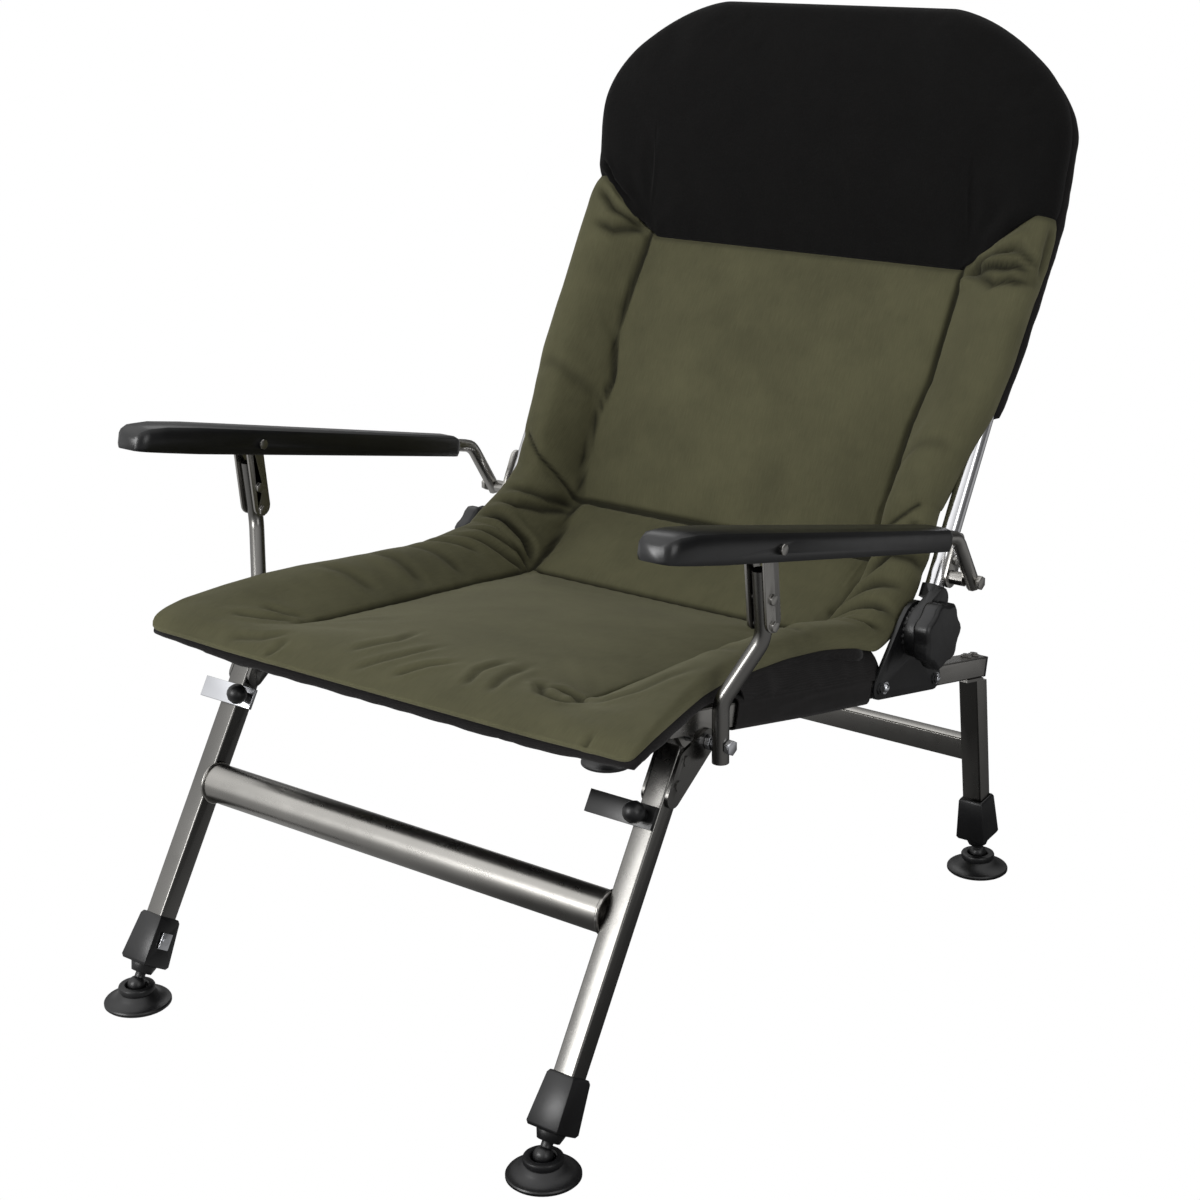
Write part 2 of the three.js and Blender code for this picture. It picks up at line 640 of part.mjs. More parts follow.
function makeFrame() {
  Object.entries(SIDES).forEach(([name, side]) => {
    place(`rail_${name}`, onSide(rail(), side), graphiteMetal);
    place(`rail_end_cap_${name}`, onSide(railCap(), side), blackPlastic);
    place(`rail_sleeve_${name}`, onSide(railSleeve(), side), blackFabric);
    place(`pivot_bolt_${name}`, onSide(pivotBolt(), side), zinc);
  });
  place('seat_front_tube', bentTube(frontTubeCorners(), FRONT_TUBE_BENDS, STEM, FRONT_TUBE_WALL),
    graphiteMetal);
  place('seat_front_hem', frontHem(), blackFabric);
}

function crossbar(section, centre, tilt) {
  const length = RAIL_SPACING - TUBE - GAP - GAP;
  return new THREE.ExtrudeGeometry(section, { depth: length, bevelEnabled: false })
    .applyMatrix4(SIDE_VIEW).rotateX(tilt).translate(-half(length), centre.x, centre.y);
}

function legTube(leg, top) {
  return squareBar(TUBE, LEG_TUBE_START, top, BORE)
    .rotateX(-leg.lean).translate(RAIL_X, leg.ballY, BALL_HEIGHT);
}

// Front leg with the two plates riveted to its sides that carry it on the pivot bolt
function frontLeg() {
  const inner = RAIL_X + RAIL_X - GUSSET_X - GUSSET_THICKNESS;
  const outer = GUSSET_X + GUSSET_THICKNESS;
  const rivets = GUSSET_RIVETS_FROM_TOP.flatMap((drop) => {
    const point = legPoint(legs.front, FRONT_LEG_TOP - drop);
    return [pinAlongX(point, half(GUSSET_RIVET), inner, outer),
      pinAlongX(point, half(GUSSET_RIVET_HEAD), outer, outer + GUSSET_RIVET_HEAD_HEIGHT),
      pinAlongX(point, half(GUSSET_RIVET_HEAD), inner - GUSSET_RIVET_HEAD_HEIGHT, inner)];
  });
  return join(legTube(legs.front, FRONT_LEG_TOP), gusset(GUSSET_X), gusset(inner), ...rivets);
}

function makeFrontLegs() {
  Object.entries(SIDES).forEach(([name, side]) => {
    place(`front_leg_${name}`, onSide(frontLeg(), side), graphiteMetal);
  });
  const section = withHole(circle(half(FRONT_CROSSBAR_DIAMETER), LARGE_ROUND_SIDES),
    circle(half(FRONT_CROSSBAR_DIAMETER) - FRONT_CROSSBAR_WALL, LARGE_ROUND_SIDES));
  place('front_crossbar', crossbar(section, legPoint(legs.front, FRONT_CROSSBAR_FROM_BALL), 0),
    graphiteMetal);
}

// Rear leg with the saddle plate and the two studs that hold it under the rail
function rearLeg() {
  const under = -half(TUBE) - GAP;
  const tube = cut(legTube(legs.rear, REAR_LEG_TOP),
    railSlab(-TUBE, RAIL_LENGTH, under - SADDLE_THICKNESS, REAR_LEG_TOP, RAIL_X - TUBE, TUBE + TUBE));
  const saddle = railSlab(0, SADDLE_LENGTH, under - SADDLE_THICKNESS, under, RAIL_X - half(TUBE), TUBE);
  const studs = rearBoltPoints().flatMap((point) => [
    acrossRail(point, half(SMALL_BOLT), TUBE + GAP + GAP + half(SADDLE_THICKNESS), SMALL_BOLT_HEAD_HEIGHT),
    acrossRail(point, half(SMALL_BOLT_HEAD), 0, half(SMALL_BOLT_HEAD_HEIGHT)),
    acrossRail(point, half(SMALL_BOLT_HEAD) - SMALL_BOLT_CHAMFER, 0, SMALL_BOLT_HEAD_HEIGHT)]);
  return join(tube, saddle, ...studs);
}

function makeRearLegs() {
  Object.entries(SIDES).forEach(([name, side]) => {
    place(`rear_leg_${name}`, onSide(rearLeg(), side), graphiteMetal);
  });
  const inner = TUBE_WALL + TUBE_WALL;
  const section = withHole(rectangle(REAR_CROSSBAR_DEPTH, REAR_CROSSBAR_HEIGHT),
    rectangle(REAR_CROSSBAR_DEPTH - inner, REAR_CROSSBAR_HEIGHT - inner));
  place('rear_crossbar', crossbar(section, legPoint(legs.rear, REAR_CROSSBAR_FROM_BALL), -legs.rear.lean),
    graphiteMetal);
}

// Feet, built with +Z up the leg and the ball joint at the origin
function collar(inward) {
  const side = (size) => size / Math.SQRT2;
  const profile = [[0, 0], [side(COLLAR_BOTTOM - COLLAR_CHAMFER), 0], [side(COLLAR_BOTTOM), COLLAR_CHAMFER],
    [side(COLLAR_TOP), COLLAR_LENGTH - COLLAR_CHAMFER],
    [side(COLLAR_TOP - COLLAR_CHAMFER), COLLAR_LENGTH], [0, COLLAR_LENGTH]];
  const body = new THREE.LatheGeometry(profile.map((p) => new THREE.Vector2(...p)), 4)
    .rotateY(Math.PI / 4).rotateX(Math.PI / 2).translate(0, 0, COLLAR_START);
  const legWay = squareBar(TUBE + GAP + GAP, LEG_TUBE_START - GAP, COLLAR_START + COLLAR_LENGTH + OVERRUN);
  const stemWay = squareBar(STEM + GAP + GAP, COLLAR_START - OVERRUN, LEG_TUBE_START);
  const reach = half(COLLAR_BOTTOM) + OVERRUN;
  const buttonWay = new THREE.CylinderGeometry(half(BUTTON_DIAMETER) + HOLE_GAP,
    half(BUTTON_DIAMETER) + HOLE_GAP, reach, ROUND_SIDES)
    .rotateZ(Math.PI / 2).translate(inward * half(reach), 0, BUTTON_FROM_BALL);
  return cut(body, legWay, stemWay, buttonWay);
}

// Half the collar's width at a height above the ball
function collarHalfAt(along) {
  return half(lerp(COLLAR_BOTTOM, COLLAR_TOP, (along - COLLAR_START) / COLLAR_LENGTH));
}

function stem() {
  const neck = [[0, 0], [half(BALL_PIN), 0], [half(BALL_PIN), STEM_NECK_START],
    [half(STEM_NECK_BOTTOM), STEM_NECK_START], [half(STEM_NECK_TOP), COLLAR_START - GAP],
    [0, COLLAR_START - GAP]];
  const turned = new THREE.LatheGeometry(neck.map((p) => new THREE.Vector2(...p)), ROUND_SIDES)
    .rotateX(Math.PI / 2);
  const ball = new THREE.SphereGeometry(half(BALL_DIAMETER), ROUND_SIDES, BALL_RINGS)
    .rotateX(Math.PI / 2);
  const bar = squareBar(STEM, COLLAR_START - GAP - GAP, STEM_LENGTH + COLLAR_START);
  return join(turned, ball, bar);
}

function button(inward) {
  const outerEnd = collarHalfAt(BUTTON_FROM_BALL) + BUTTON_PROUD;
  const innerEnd = half(TUBE) + GAP + BUTTON_STROKE;
  return new THREE.CylinderGeometry(half(BUTTON_DIAMETER), half(BUTTON_DIAMETER),
    outerEnd - innerEnd, ROUND_SIDES)
    .rotateZ(Math.PI / 2).translate(inward * half(outerEnd + innerEnd), 0, BUTTON_FROM_BALL);
}

function mudFoot() {
  const socket = half(BALL_DIAMETER) + GAP;
  const bossTop = BALL_HEIGHT + GAP + GAP;
  const dome = new THREE.QuadraticBezierCurve(
    new THREE.Vector2(half(MUD_FOOT_DIAMETER) - MUD_FOOT_RIM, MUD_FOOT_RIM + MUD_FOOT_TOP_CHAMFER),
    new THREE.Vector2(half(MUD_FOOT_BOSS) + MUD_FOOT_BOSS_EDGE, half(BALL_HEIGHT)),
    new THREE.Vector2(half(MUD_FOOT_BOSS), bossTop - MUD_FOOT_TOP_CHAMFER)).getPoints(DOME_STEPS);
  const lip = Math.acos((bossTop - BALL_HEIGHT) / socket);
  const cup = Array.from({ length: CUP_STEPS + 1 }, (_, i) => {
    const angle = lip + ((Math.PI - lip) * i) / CUP_STEPS;
    return new THREE.Vector2(i < CUP_STEPS ? socket * Math.sin(angle) : 0,
      BALL_HEIGHT + socket * Math.cos(angle));
  });
  const profile = [new THREE.Vector2(0, 0),
    new THREE.Vector2(half(MUD_FOOT_DIAMETER) - MUD_FOOT_TOP_CHAMFER, 0),
    new THREE.Vector2(half(MUD_FOOT_DIAMETER), MUD_FOOT_TOP_CHAMFER),
    new THREE.Vector2(half(MUD_FOOT_DIAMETER), MUD_FOOT_RIM), ...dome,
    new THREE.Vector2(half(MUD_FOOT_BOSS) - MUD_FOOT_TOP_CHAMFER, bossTop), ...cup];
  return new THREE.LatheGeometry(profile, LARGE_ROUND_SIDES).rotateX(Math.PI / 2);
}

function makeFeet() {
  Object.entries(legs).forEach(([end, leg]) => {
    Object.entries(SIDES).forEach(([name, side]) => {
      const group = legGroup(leg, side);
      place(`leg_collar_${end}_${name}`, collar(-side), blackPlastic, group);
      place(`telescopic_stem_${end}_${name}`, stem(), blackPlastic, group);
      place(`spring_button_${end}_${name}`, button(-side), brightSteel, group);
      place(`mud_foot_${end}_${name}`, mudFoot(), blackPlastic)
        .position.set(side * RAIL_X, leg.ballY, 0);
    });
  });
}

// Latch bars, built in the front leg's group with -Y as the leg's front
function latchBar(from, to) {
  const shape = rectangle(to - from, LATCH_WIDTH);
  const back = half(TUBE) + LATCH_STANDOFF;
  const bar = new THREE.ExtrudeGeometry(shape, { depth: LATCH_THICKNESS, bevelEnabled: false })
    .translate(half(from + to), 0, back).rotateX(Math.PI / 2).translate(0, 0, LATCH_FROM_BALL);
  const screw = new THREE.CylinderGeometry(half(SMALL_BOLT_HEAD), half(SMALL_BOLT_HEAD),
    back - half(TUBE) - GAP + LATCH_THICKNESS, ROUND_SIDES)
    .translate(0, -half(half(TUBE) + GAP + back + LATCH_THICKNESS), LATCH_FROM_BALL);
  return join(bar, screw);
}

function latchKnob(at) {
  const root = half(TUBE) + LATCH_STANDOFF + LATCH_THICKNESS + GAP;
  const neck = new THREE.CylinderGeometry(half(LATCH_NECK), half(LATCH_NECK),
    LATCH_NECK_LENGTH + LATCH_NECK_LENGTH, ROUND_SIDES).translate(0, -root - LATCH_NECK_LENGTH, 0);
  const ball = new THREE.SphereGeometry(half(LATCH_BALL), ROUND_SIDES, BALL_RINGS)
    .translate(0, -root - LATCH_NECK_LENGTH - half(LATCH_BALL), 0);
  return join(neck, ball).translate(at, 0, LATCH_FROM_BALL);
}

function makeLatches() {
  const layouts = {
    left: [LATCH_LEFT_FROM, LATCH_LEFT_TO, LATCH_LEFT_KNOB],
    right: [LATCH_RIGHT_FROM, LATCH_RIGHT_TO, LATCH_RIGHT_KNOB],
  };
  Object.entries(layouts).forEach(([name, [from, to, knob]]) => {
    const group = legGroup(legs.front, SIDES[name]);
    place(`latch_bar_${name}`, latchBar(from, to), brightSteel, group);
    place(`latch_knob_${name}`, latchKnob(knob), blackPlastic, group);
  });
}

// Back hinge
function ratchetShape() {
  return new THREE.Shape(Array.from({ length: RATCHET_TEETH + RATCHET_TEETH }, (_, i) => {
    const angle = (Math.PI * i) / RATCHET_TEETH;
    const radius = RATCHET_RADIUS - (i % 2 ? RATCHET_TOOTH : 0);
    return new THREE.Vector2(Math.cos(angle), Math.sin(angle)).multiplyScalar(radius).add(HINGE);
  }));
}

// Plate on the rail's outer face with the toothed ring and the two bolts that hold it
function hingePlate() {
  const ears = hingeBoltPoints().map((point) => [point, HINGE_EAR]);
  const face = PLATE_X + HINGE_PLATE_THICKNESS;
  const plate = sidePlate(hullShape([[HINGE, HINGE_PLATE_RADIUS], ...ears]), PLATE_X, HINGE_PLATE_THICKNESS);
  const ring = sidePlate(ratchetShape(), RATCHET_X - half(HINGE_PLATE_THICKNESS),
    RATCHET_THICKNESS + half(HINGE_PLATE_THICKNESS));
  const bolts = hingeBoltPoints().flatMap((point) => [
    pinAlongX(point, half(SMALL_BOLT), PLATE_X - GAP - TUBE_WALL, face),
    pinAlongX(point, half(SMALL_BOLT_HEAD), face, face + half(SMALL_BOLT_HEAD_HEIGHT)),
    pinAlongX(point, half(SMALL_BOLT_HEAD) - SMALL_BOLT_CHAMFER, face, face + SMALL_BOLT_HEAD_HEIGHT)]);
  return cut(join(plate, ring, ...bolts),
    pinAlongX(HINGE, pinHole(HINGE_PIN), PLATE_X - OVERRUN, HINGE_ARM_X + OVERRUN));
}

function hingePin() {
  const headFrom = PLATE_X - GAP - HINGE_PIN_HEAD_HEIGHT;
  const shaft = pinAlongX(HINGE, half(HINGE_PIN), headFrom, KNOB_X + KNOB_THICKNESS - KNOB_CAP - GAP);
  return join(shaft, pinAlongX(HINGE, half(HINGE_PIN_HEAD), headFrom, PLATE_X - GAP));
}

// Arm that turns on the pin and holds the back tube by a socket outside and a spigot inside
function hingeArm() {
  const socketRadius = half(BACK_TUBE) + SOCKET_WALL + GAP;
  const disc = sidePlate(hullShape([[HINGE, HINGE_ARM_RADIUS], [backPoint(SOCKET_START), socketRadius]]),
    HINGE_ARM_X, HINGE_ARM_THICKNESS);
  const along = (radius, from, to, sides) => bentTube(
    [inSpace(BACK_X, backPoint(from)), inSpace(BACK_X, backPoint(to))], [], radius + radius, 0, sides);
  const floor = SOCKET_START + SOCKET_WALL;
  const socket = along(socketRadius, SOCKET_START, SOCKET_START + SOCKET_LENGTH, ROUND_SIDES);
  const bore = along(half(BACK_TUBE) + GAP, floor, floor + SOCKET_LENGTH + OVERRUN, TUBE_SIDES);
  const spigot = along(half(BACK_TUBE) - BACK_TUBE_WALL - GAP, SOCKET_START + half(SOCKET_WALL),
    SOCKET_START + SPIGOT_LENGTH, TUBE_SIDES);
  const pinWay = pinAlongX(HINGE, pinHole(HINGE_PIN), PLATE_X, KNOB_X + OVERRUN);
  return cut(join(cut(join(disc, socket), bore), spigot), pinWay);
}

function hingeKnob() {
  const count = KNOB_LOBES * KNOB_LOBE_STEPS;
  const points = Array.from({ length: count }, (_, i) => {
    const angle = (2 * Math.PI * i) / count;
    const radius = KNOB_RADIUS - half(KNOB_LOBE_DEPTH) * (1 - Math.cos(KNOB_LOBES * angle));
    return new THREE.Vector2(Math.cos(angle), Math.sin(angle)).multiplyScalar(radius).add(HINGE);
  });
  const body = sidePlate(new THREE.Shape(points), KNOB_X, KNOB_THICKNESS, KNOB_BEVEL);
  return cut(body, pinAlongX(HINGE, pinHole(HINGE_PIN), KNOB_X - OVERRUN,
    KNOB_X + KNOB_THICKNESS - KNOB_CAP));
}

function makeHinges() {
  Object.entries(SIDES).forEach(([name, side]) => {
    place(`hinge_plate_${name}`, onSide(hingePlate(), side), blackPlastic);
    place(`hinge_pin_${name}`, onSide(hingePin(), side), zinc);
    place(`hinge_arm_${name}`, onSide(hingeArm(), side), blackPlastic);
    place(`hinge_knob_${name}`, onSide(hingeKnob(), side), blackPlastic);
  });
}

// Tube of the back, or the way that a pad leaves for it when grown
function backTube(grown, wall) {
  const start = SOCKET_START + SOCKET_WALL + GAP;
  const halfRoute = [start, HEAD_BEND_AT, BACK_TOP_AT].map((at) => inSpace(BACK_X, backPoint(at)));
  const mirrored = halfRoute.map((p) => new THREE.Vector3(-p.x, p.y, p.z)).reverse();
  const bends = [HEAD_BEND_RADIUS, HEAD_CORNER_RADIUS, HEAD_CORNER_RADIUS, HEAD_BEND_RADIUS];
  return bentTube([...halfRoute, ...mirrored], bends, BACK_TUBE + grown + grown, wall);
}

// Armrest links
const linkAlong = LINK.clone().sub(BACK_FOOT).dot(BACK_DIRECTION);

function bracketBoltPoints() {
  return BRACKET_BOLTS_AT.map((at) => backPoint(linkAlong + at));
}

function armBracket() {
  const plate = sidePlate(hullShape([[LINK, BRACKET_EYE], [backPoint(linkAlong + BRACKET_LENGTH), half(BACK_TUBE)]]),
    BRACKET_X, BRACKET_THICKNESS);
  const boss = pinAlongX(LINK, half(BRACKET_BOSS), BRACKET_X, ARM_X - half(ARM_TUBE) - GAP);
  const heads = bracketBoltPoints().map((point) => (
    pinAlongX(point, half(STRUT_BOLT_HEAD), BRACKET_X,
      BRACKET_X + BRACKET_THICKNESS + STRUT_BOLT_HEAD_HEIGHT, HEX)));
  return join(plate, boss, ...heads);
}

function strutCorners() {
  const foot = PIVOT.clone().setY(PIVOT.y - STRUT_BELOW_PIVOT);
  const knee = PIVOT.clone().setY(PIVOT.y + STRUT_LOWER);
  return [inSpace(STRUT_X, foot), inSpace(STRUT_X, knee),
    new THREE.Vector3(ARM_X, RIVET_Y + STRUT_UPPER_LEAN, STRUT_UPPER_Z),
    new THREE.Vector3(ARM_X, RIVET_Y, STRUT_TOP_Z)];
}

const strutBoltPoints = () => STRUT_BOLT_ZS.map((z) => new THREE.Vector2(
  RIVET_Y + (STRUT_UPPER_LEAN * (STRUT_TOP_Z - z)) / (STRUT_TOP_Z - STRUT_UPPER_Z), z));

function strut() {
  const rod = bentTube(strutCorners(), [STRUT_BEND, STRUT_BEND], STRUT);
  const pivotWay = pinAlongX(PIVOT, pinHole(PIVOT_BOLT), STRUT_X - STRUT, STRUT_X + STRUT);
  const boltWays = strutBoltPoints().map((point) => (
    pinAlongX(point, pinHole(STRUT_BOLT), ARM_X - STRUT, ARM_X + STRUT)));
  return cut(rod, pivotWay, ...boltWays);
}

// Channel round the strut's top, with its two bolts and the rivet that the armrest turns on
function strutChannel() {
  const inner = half(STRUT) + GAP;
  const outer = inner + CHANNEL_THICKNESS;
  const low = new THREE.Vector2(RIVET_Y + STRUT_UPPER_LEAN, CHANNEL_BOTTOM_Z + outer);
  const down = low.clone().sub(RIVET).normalize();
  const rear = forwardOf(down);
  const length = low.distanceTo(RIVET);
  const box = (from, to, fore, aft) => new THREE.Shape([[from, fore], [to, fore], [to, aft], [from, aft]]
    .map(([run, across]) => RIVET.clone().addScaledVector(down, run).addScaledVector(rear, across)));
  const block = sidePlate(hullShape([[RIVET, outer], [low, outer]]), ARM_X - outer, outer + outer);
  const way = sidePlate(box(-outer - OVERRUN, length + outer + OVERRUN, -outer - OVERRUN, inner),
    ARM_X - inner, inner + inner);
  const top = sidePlate(box(-outer - OVERRUN, RIVET_Z - CHANNEL_WEB_TOP_Z, -outer, outer + OVERRUN),
    ARM_X - inner, inner + inner);
  const side = half(ARM_WIDTH) + GAP;
  const rivet = pinAlongX(RIVET, half(RIVET_DIAMETER), ARM_X - side, ARM_X + side);
  const heads = [ARM_X + side, ARM_X - side - RIVET_HEAD_HEIGHT].map((x) => (
    pinAlongX(RIVET, half(RIVET_HEAD), x, x + RIVET_HEAD_HEIGHT)));
  return join(cut(block, way, top), rivet, ...heads, ...strutBoltPoints().map(strutBolt));
}

function strutBolt(point) {
  const grip = half(STRUT) + GAP + CHANNEL_THICKNESS;
  const head = grip + STRUT_BOLT_HEAD_HEIGHT;
  return join(pinAlongX(point, half(STRUT_BOLT), ARM_X - head, ARM_X + head),
    pinAlongX(point, half(STRUT_BOLT_HEAD), ARM_X + grip, ARM_X + head, HEX),
    pinAlongX(point, half(STRUT_BOLT_HEAD), ARM_X - head, ARM_X - grip, 6));
}

// The armrest in its own frame: u forward from the rivet, v across, w up
function armPoint(u, v, w) {
  const ahead = new THREE.Vector2(-Math.cos(deg(ARM_PITCH)), Math.sin(deg(ARM_PITCH)));
  const up = new THREE.Vector2(Math.sin(deg(ARM_PITCH)), Math.cos(deg(ARM_PITCH)));
  const point = RIVET.clone().addScaledVector(ahead, u).addScaledVector(up, w);
  return inSpace(ARM_X + v, point);
}

// Closed skin over rings of points, each ring the same count, ends capped from their middle.
function loft(rings) {
  const count = rings[0].length;
  const points = rings.flat();
  const index = [];
  for (let r = 0; r + 1 < rings.length; r += 1) {
    for (let i = 0; i < count; i += 1) {
      const a = r * count + i;
      const b = r * count + ((i + 1) % count);
      index.push(a, b + count, b, a, a + count, b + count);
    }
  }
  const last = (rings.length - 1) * count;
  for (let i = 1; i + 1 < count; i += 1) index.push(0, i, i + 1, last, last + i + 1, last + i);
  const geometry = new THREE.BufferGeometry().setFromPoints(points);
  geometry.setIndex(index);
  geometry.computeVertexNormals();
  return geometry;
}

function armrest() {
  const length = ARM_FRONT_FROM_RIVET + ARM_REAR_FROM_RIVET;
  const rings = ARM_LENGTH_SHARES.map((share, i) => {
    const u = share * length - ARM_REAR_FROM_RIVET;
    const taper = Math.min(1, share / ARM_LENGTH_SHARES[4]);
    const width = lerp(ARM_REAR_WIDTH, ARM_WIDTH, taper) * ARM_WIDTH_SHARES[i];
    const full = lerp(ARM_REAR_THICKNESS, ARM_THICKNESS, taper);
    const height = full * ARM_HEIGHT_SHARES[i];
    const floor = ARM_ABOVE_RIVET - full;
    const right = ARM_SECTION_SHARES.map(([v, w]) => armPoint(u, half(width) * v, floor + height * w));
    const left = ARM_SECTION_SHARES.slice(1, -1).reverse()
      .map(([v, w]) => armPoint(u, -half(width) * v, floor + height * w));
    return [...right, ...left];
  });
  const slotHalfWidth = half(STRUT) + GAP + CHANNEL_THICKNESS + GAP;
  const depth = ARM_THICKNESS + OVERRUN;
  const slot = new THREE.BoxGeometry(slotHalfWidth + slotHalfWidth, ARM_SLOT_LENGTH, depth)
    .translate(0, 0, ARM_SLOT_ABOVE_RIVET - half(depth)).rotateX(-deg(ARM_PITCH))
    .translate(ARM_X, RIVET_Y, RIVET_Z);
  const rivetWay = pinAlongX(RIVET, pinHole(RIVET_DIAMETER), ARM_X - ARM_WIDTH, ARM_X + ARM_WIDTH);
  const tubeWay = bentTube([armPoint(-ARM_REAR_FROM_RIVET - OVERRUN, 0, armTubeHeight()),
    armPoint(-ARM_REAR_FROM_RIVET + ARM_TUBE_INSERT + GAP, 0, armTubeHeight())], [],
  ARM_TUBE + GAP + GAP);
  return cut(loft(rings), slot, rivetWay, tubeWay);
}

function armTubeHeight() {
  return ARM_ABOVE_RIVET - half(ARM_REAR_THICKNESS);
}

function armTube() {
  const start = armPoint(-ARM_REAR_FROM_RIVET + ARM_TUBE_INSERT, 0, armTubeHeight());
  const knee = armPoint(-ARM_REAR_FROM_RIVET - ARM_TUBE_KNEE, 0, armTubeHeight());
  const fall = inSpace(ARM_X, LINK).sub(knee).normalize();
  const end = inSpace(ARM_X, LINK).addScaledVector(fall, half(ARM_TUBE));
  const rod = bentTube([start, knee, end], [ARM_TUBE_BEND], ARM_TUBE);
  const face = ARM_X + half(ARM_TUBE);
  return join(rod, pinAlongX(LINK, half(LINK_BOLT), ARM_X, face + LINK_BOLT_HEAD_HEIGHT),
    pinAlongX(LINK, half(LINK_BOLT_HEAD), face - GAP, face + LINK_BOLT_HEAD_HEIGHT, 6));
}

function makeArms() {
  Object.entries(SIDES).forEach(([name, side]) => {
    place(`arm_bracket_${name}`, onSide(armBracket(), side), graphiteMetal);
    place(`arm_strut_${name}`, onSide(strut(), side), graphiteMetal);
    place(`strut_channel_${name}`, onSide(strutChannel(), side), graphiteMetal);
    place(`armrest_${name}`, onSide(armrest(), side), armPlastic);
    place(`arm_tube_${name}`, onSide(armTube(), side), graphiteMetal);
  });
}

// Cushions: a front and a back skin over one grid, joined at the rim
function mirrorShares(shares) {
  return [...shares.slice(1).reverse().map((share) => -share), ...shares];
}

function cushion(point) {
  const columns = mirrorShares(PAD_COLUMN_SHARES);
  const rows = mirrorShares(PAD_ROW_SHARES);
  const points = [];
  const number = new Map();
  const vertex = (i, j, face) => {
    const rim = i === 0 || j === 0 || i === columns.length - 1 || j === rows.length - 1;
    const key = `${i},${j},${rim ? 0 : face}`;
    if (!number.has(key)) {
      number.set(key, points.length);
      points.push(point(columns[i], rows[j], rim ? 0 : face));
    }
    return number.get(key);
  };
  const index = [];
  for (let i = 0; i + 1 < columns.length; i += 1) {
    for (let j = 0; j + 1 < rows.length; j += 1) {
      [1, -1].forEach((face) => {
        const [a, b, c, d] = [[i, j], [i + 1, j], [i + 1, j + 1], [i, j + 1]]
          .map(([p, q]) => vertex(p, q, face));
        if (face > 0) index.push(a, b, c, a, c, d);
        else index.push(a, c, b, a, d, c);
      });
    }
  }
  const geometry = new THREE.BufferGeometry().setFromPoints(points);
  geometry.setIndex(index);
  geometry.computeVertexNormals();
  return geometry;
}

const edgeFall = (share) => 1 - Math.abs(share) ** 10;
const crownOf = (a, b) => (1 - a * a) * (1 - b * b);
const channelAt = (x, centre) => (
  CHANNEL_DEPTH * Math.exp(-(((Math.abs(x) - centre) / CHANNEL_HALF_WIDTH) ** 2)));

function seatPad() {
  const solid = cushion((a, b, face) => {
    const y = lerp(SEAT_FRONT_Y, SEAT_REAR_Y, half(b + 1));
    const flare = smoothstep(-y, -SEAT_WAIST_Y, -SEAT_FRONT_Y);
    const x = a * (lerp(SEAT_REAR_HALF_WIDTH, SEAT_FRONT_HALF_WIDTH, flare) - PAD_PULL_IN * (1 - b * b));
    const line = lerp(SEAT_FRONT_Z, SEAT_REAR_Z, half(b + 1)) + SEAT_CROWN * (1 - b * b);
    const bolster = SEAT_BOLSTER * smoothstep(Math.abs(x), SEAT_CHANNEL_X, SEAT_REAR_HALF_WIDTH);
    const fall = edgeFall(a) * edgeFall(b);
    const rim = line - SEAT_THICKNESS * RIM_HEIGHT_SHARE;
    const top = line + bolster - channelAt(x, SEAT_CHANNEL_X);
    if (face > 0) return new THREE.Vector3(x, y, lerp(rim, top, fall));
    return new THREE.Vector3(x, y, lerp(rim, line - SEAT_THICKNESS, -face * fall));
  });
  const reach = RAIL_LENGTH + GAP;
  const between = railSlab(-OVERRUN, reach, -SEAT_THICKNESS - SEAT_THICKNESS, -SEAT_UNDERSIDE,
    -RAIL_SPACING, RAIL_SPACING + RAIL_SPACING);
  const sleeveFrom = railAlongAt(SLEEVE_REAR_Y) - GAP;
  const sleeveTo = railAlongAt(SLEEVE_FRONT_Y) + GAP;
  const rails = [SIDES.left, SIDES.right].flatMap((side) => [
    onSide(railBlock(GAP, -OVERRUN, reach), side),
    onSide(railBlock(SLEEVE_WALL + GAP + GAP, sleeveFrom, sleeveTo), side)]);
  const tube = bentTube(frontTubeCorners(), FRONT_TUBE_BENDS, STEM + GAP + GAP + GAP, 0, TUBE_SIDES);
  const { y, z } = frontTubeCorners()[2];
  const hem = pinAlongX(new THREE.Vector2(y, z), half(STEM) + HEM_WALL + GAP + GAP + GAP,
    -HEM_HALF_LENGTH - GAP, HEM_HALF_LENGTH + GAP, LARGE_ROUND_SIDES);
  return cut(solid, between, ...rails, tube, hem);
}

const PAD_HALF_WIDTH = BACK_X + half(BACK_TUBE) + PAD_BESIDE_TUBE;
const OVER_TUBE = half(BACK_TUBE) - PAD_HUG;

// A pad hung on the back tubes; row runs from 0 to 1 between its ends.
function hungPad({ start, end, halfWidth, centre, thickness, rim }) {
  return cushion((a, b, face) => {
    const row = half(b + 1);
    const along = lerp(start, end, row);
    const x = a * (halfWidth(along) - PAD_PULL_IN * (1 - b * b));
    const shoulder = smoothstep(Math.abs(x), PAD_SHOULDER_X, PAD_SHOULDER_X + PAD_SHOULDER_WIDTH);
    const front = lerp(centre(row), half(BACK_TUBE) + PAD_OVER_TUBE, rim ? shoulder : 0);
    const back = lerp(centre(row) - thickness, OVER_TUBE, rim ? shoulder : 0);
    const middle = lerp(back, front, RIM_HEIGHT_SHARE);
    const fall = edgeFall(a) * edgeFall(b);
    const raised = front + PAD_CROWN * crownOf(a, b) - channelAt(x, BACK_CHANNEL_X);
    const forward = face > 0 ? lerp(middle, raised, fall) : lerp(middle, back, -face * fall);
    return inSpace(x, backPoint(along, forward));
  });
}

function backPadWidth(along) {
  return lerp(LUMBAR_HALF_WIDTH, PAD_HALF_WIDTH, smoothstep(along, BACK_PAD_LOW_END, BACK_PAD_FULL_AT));
}

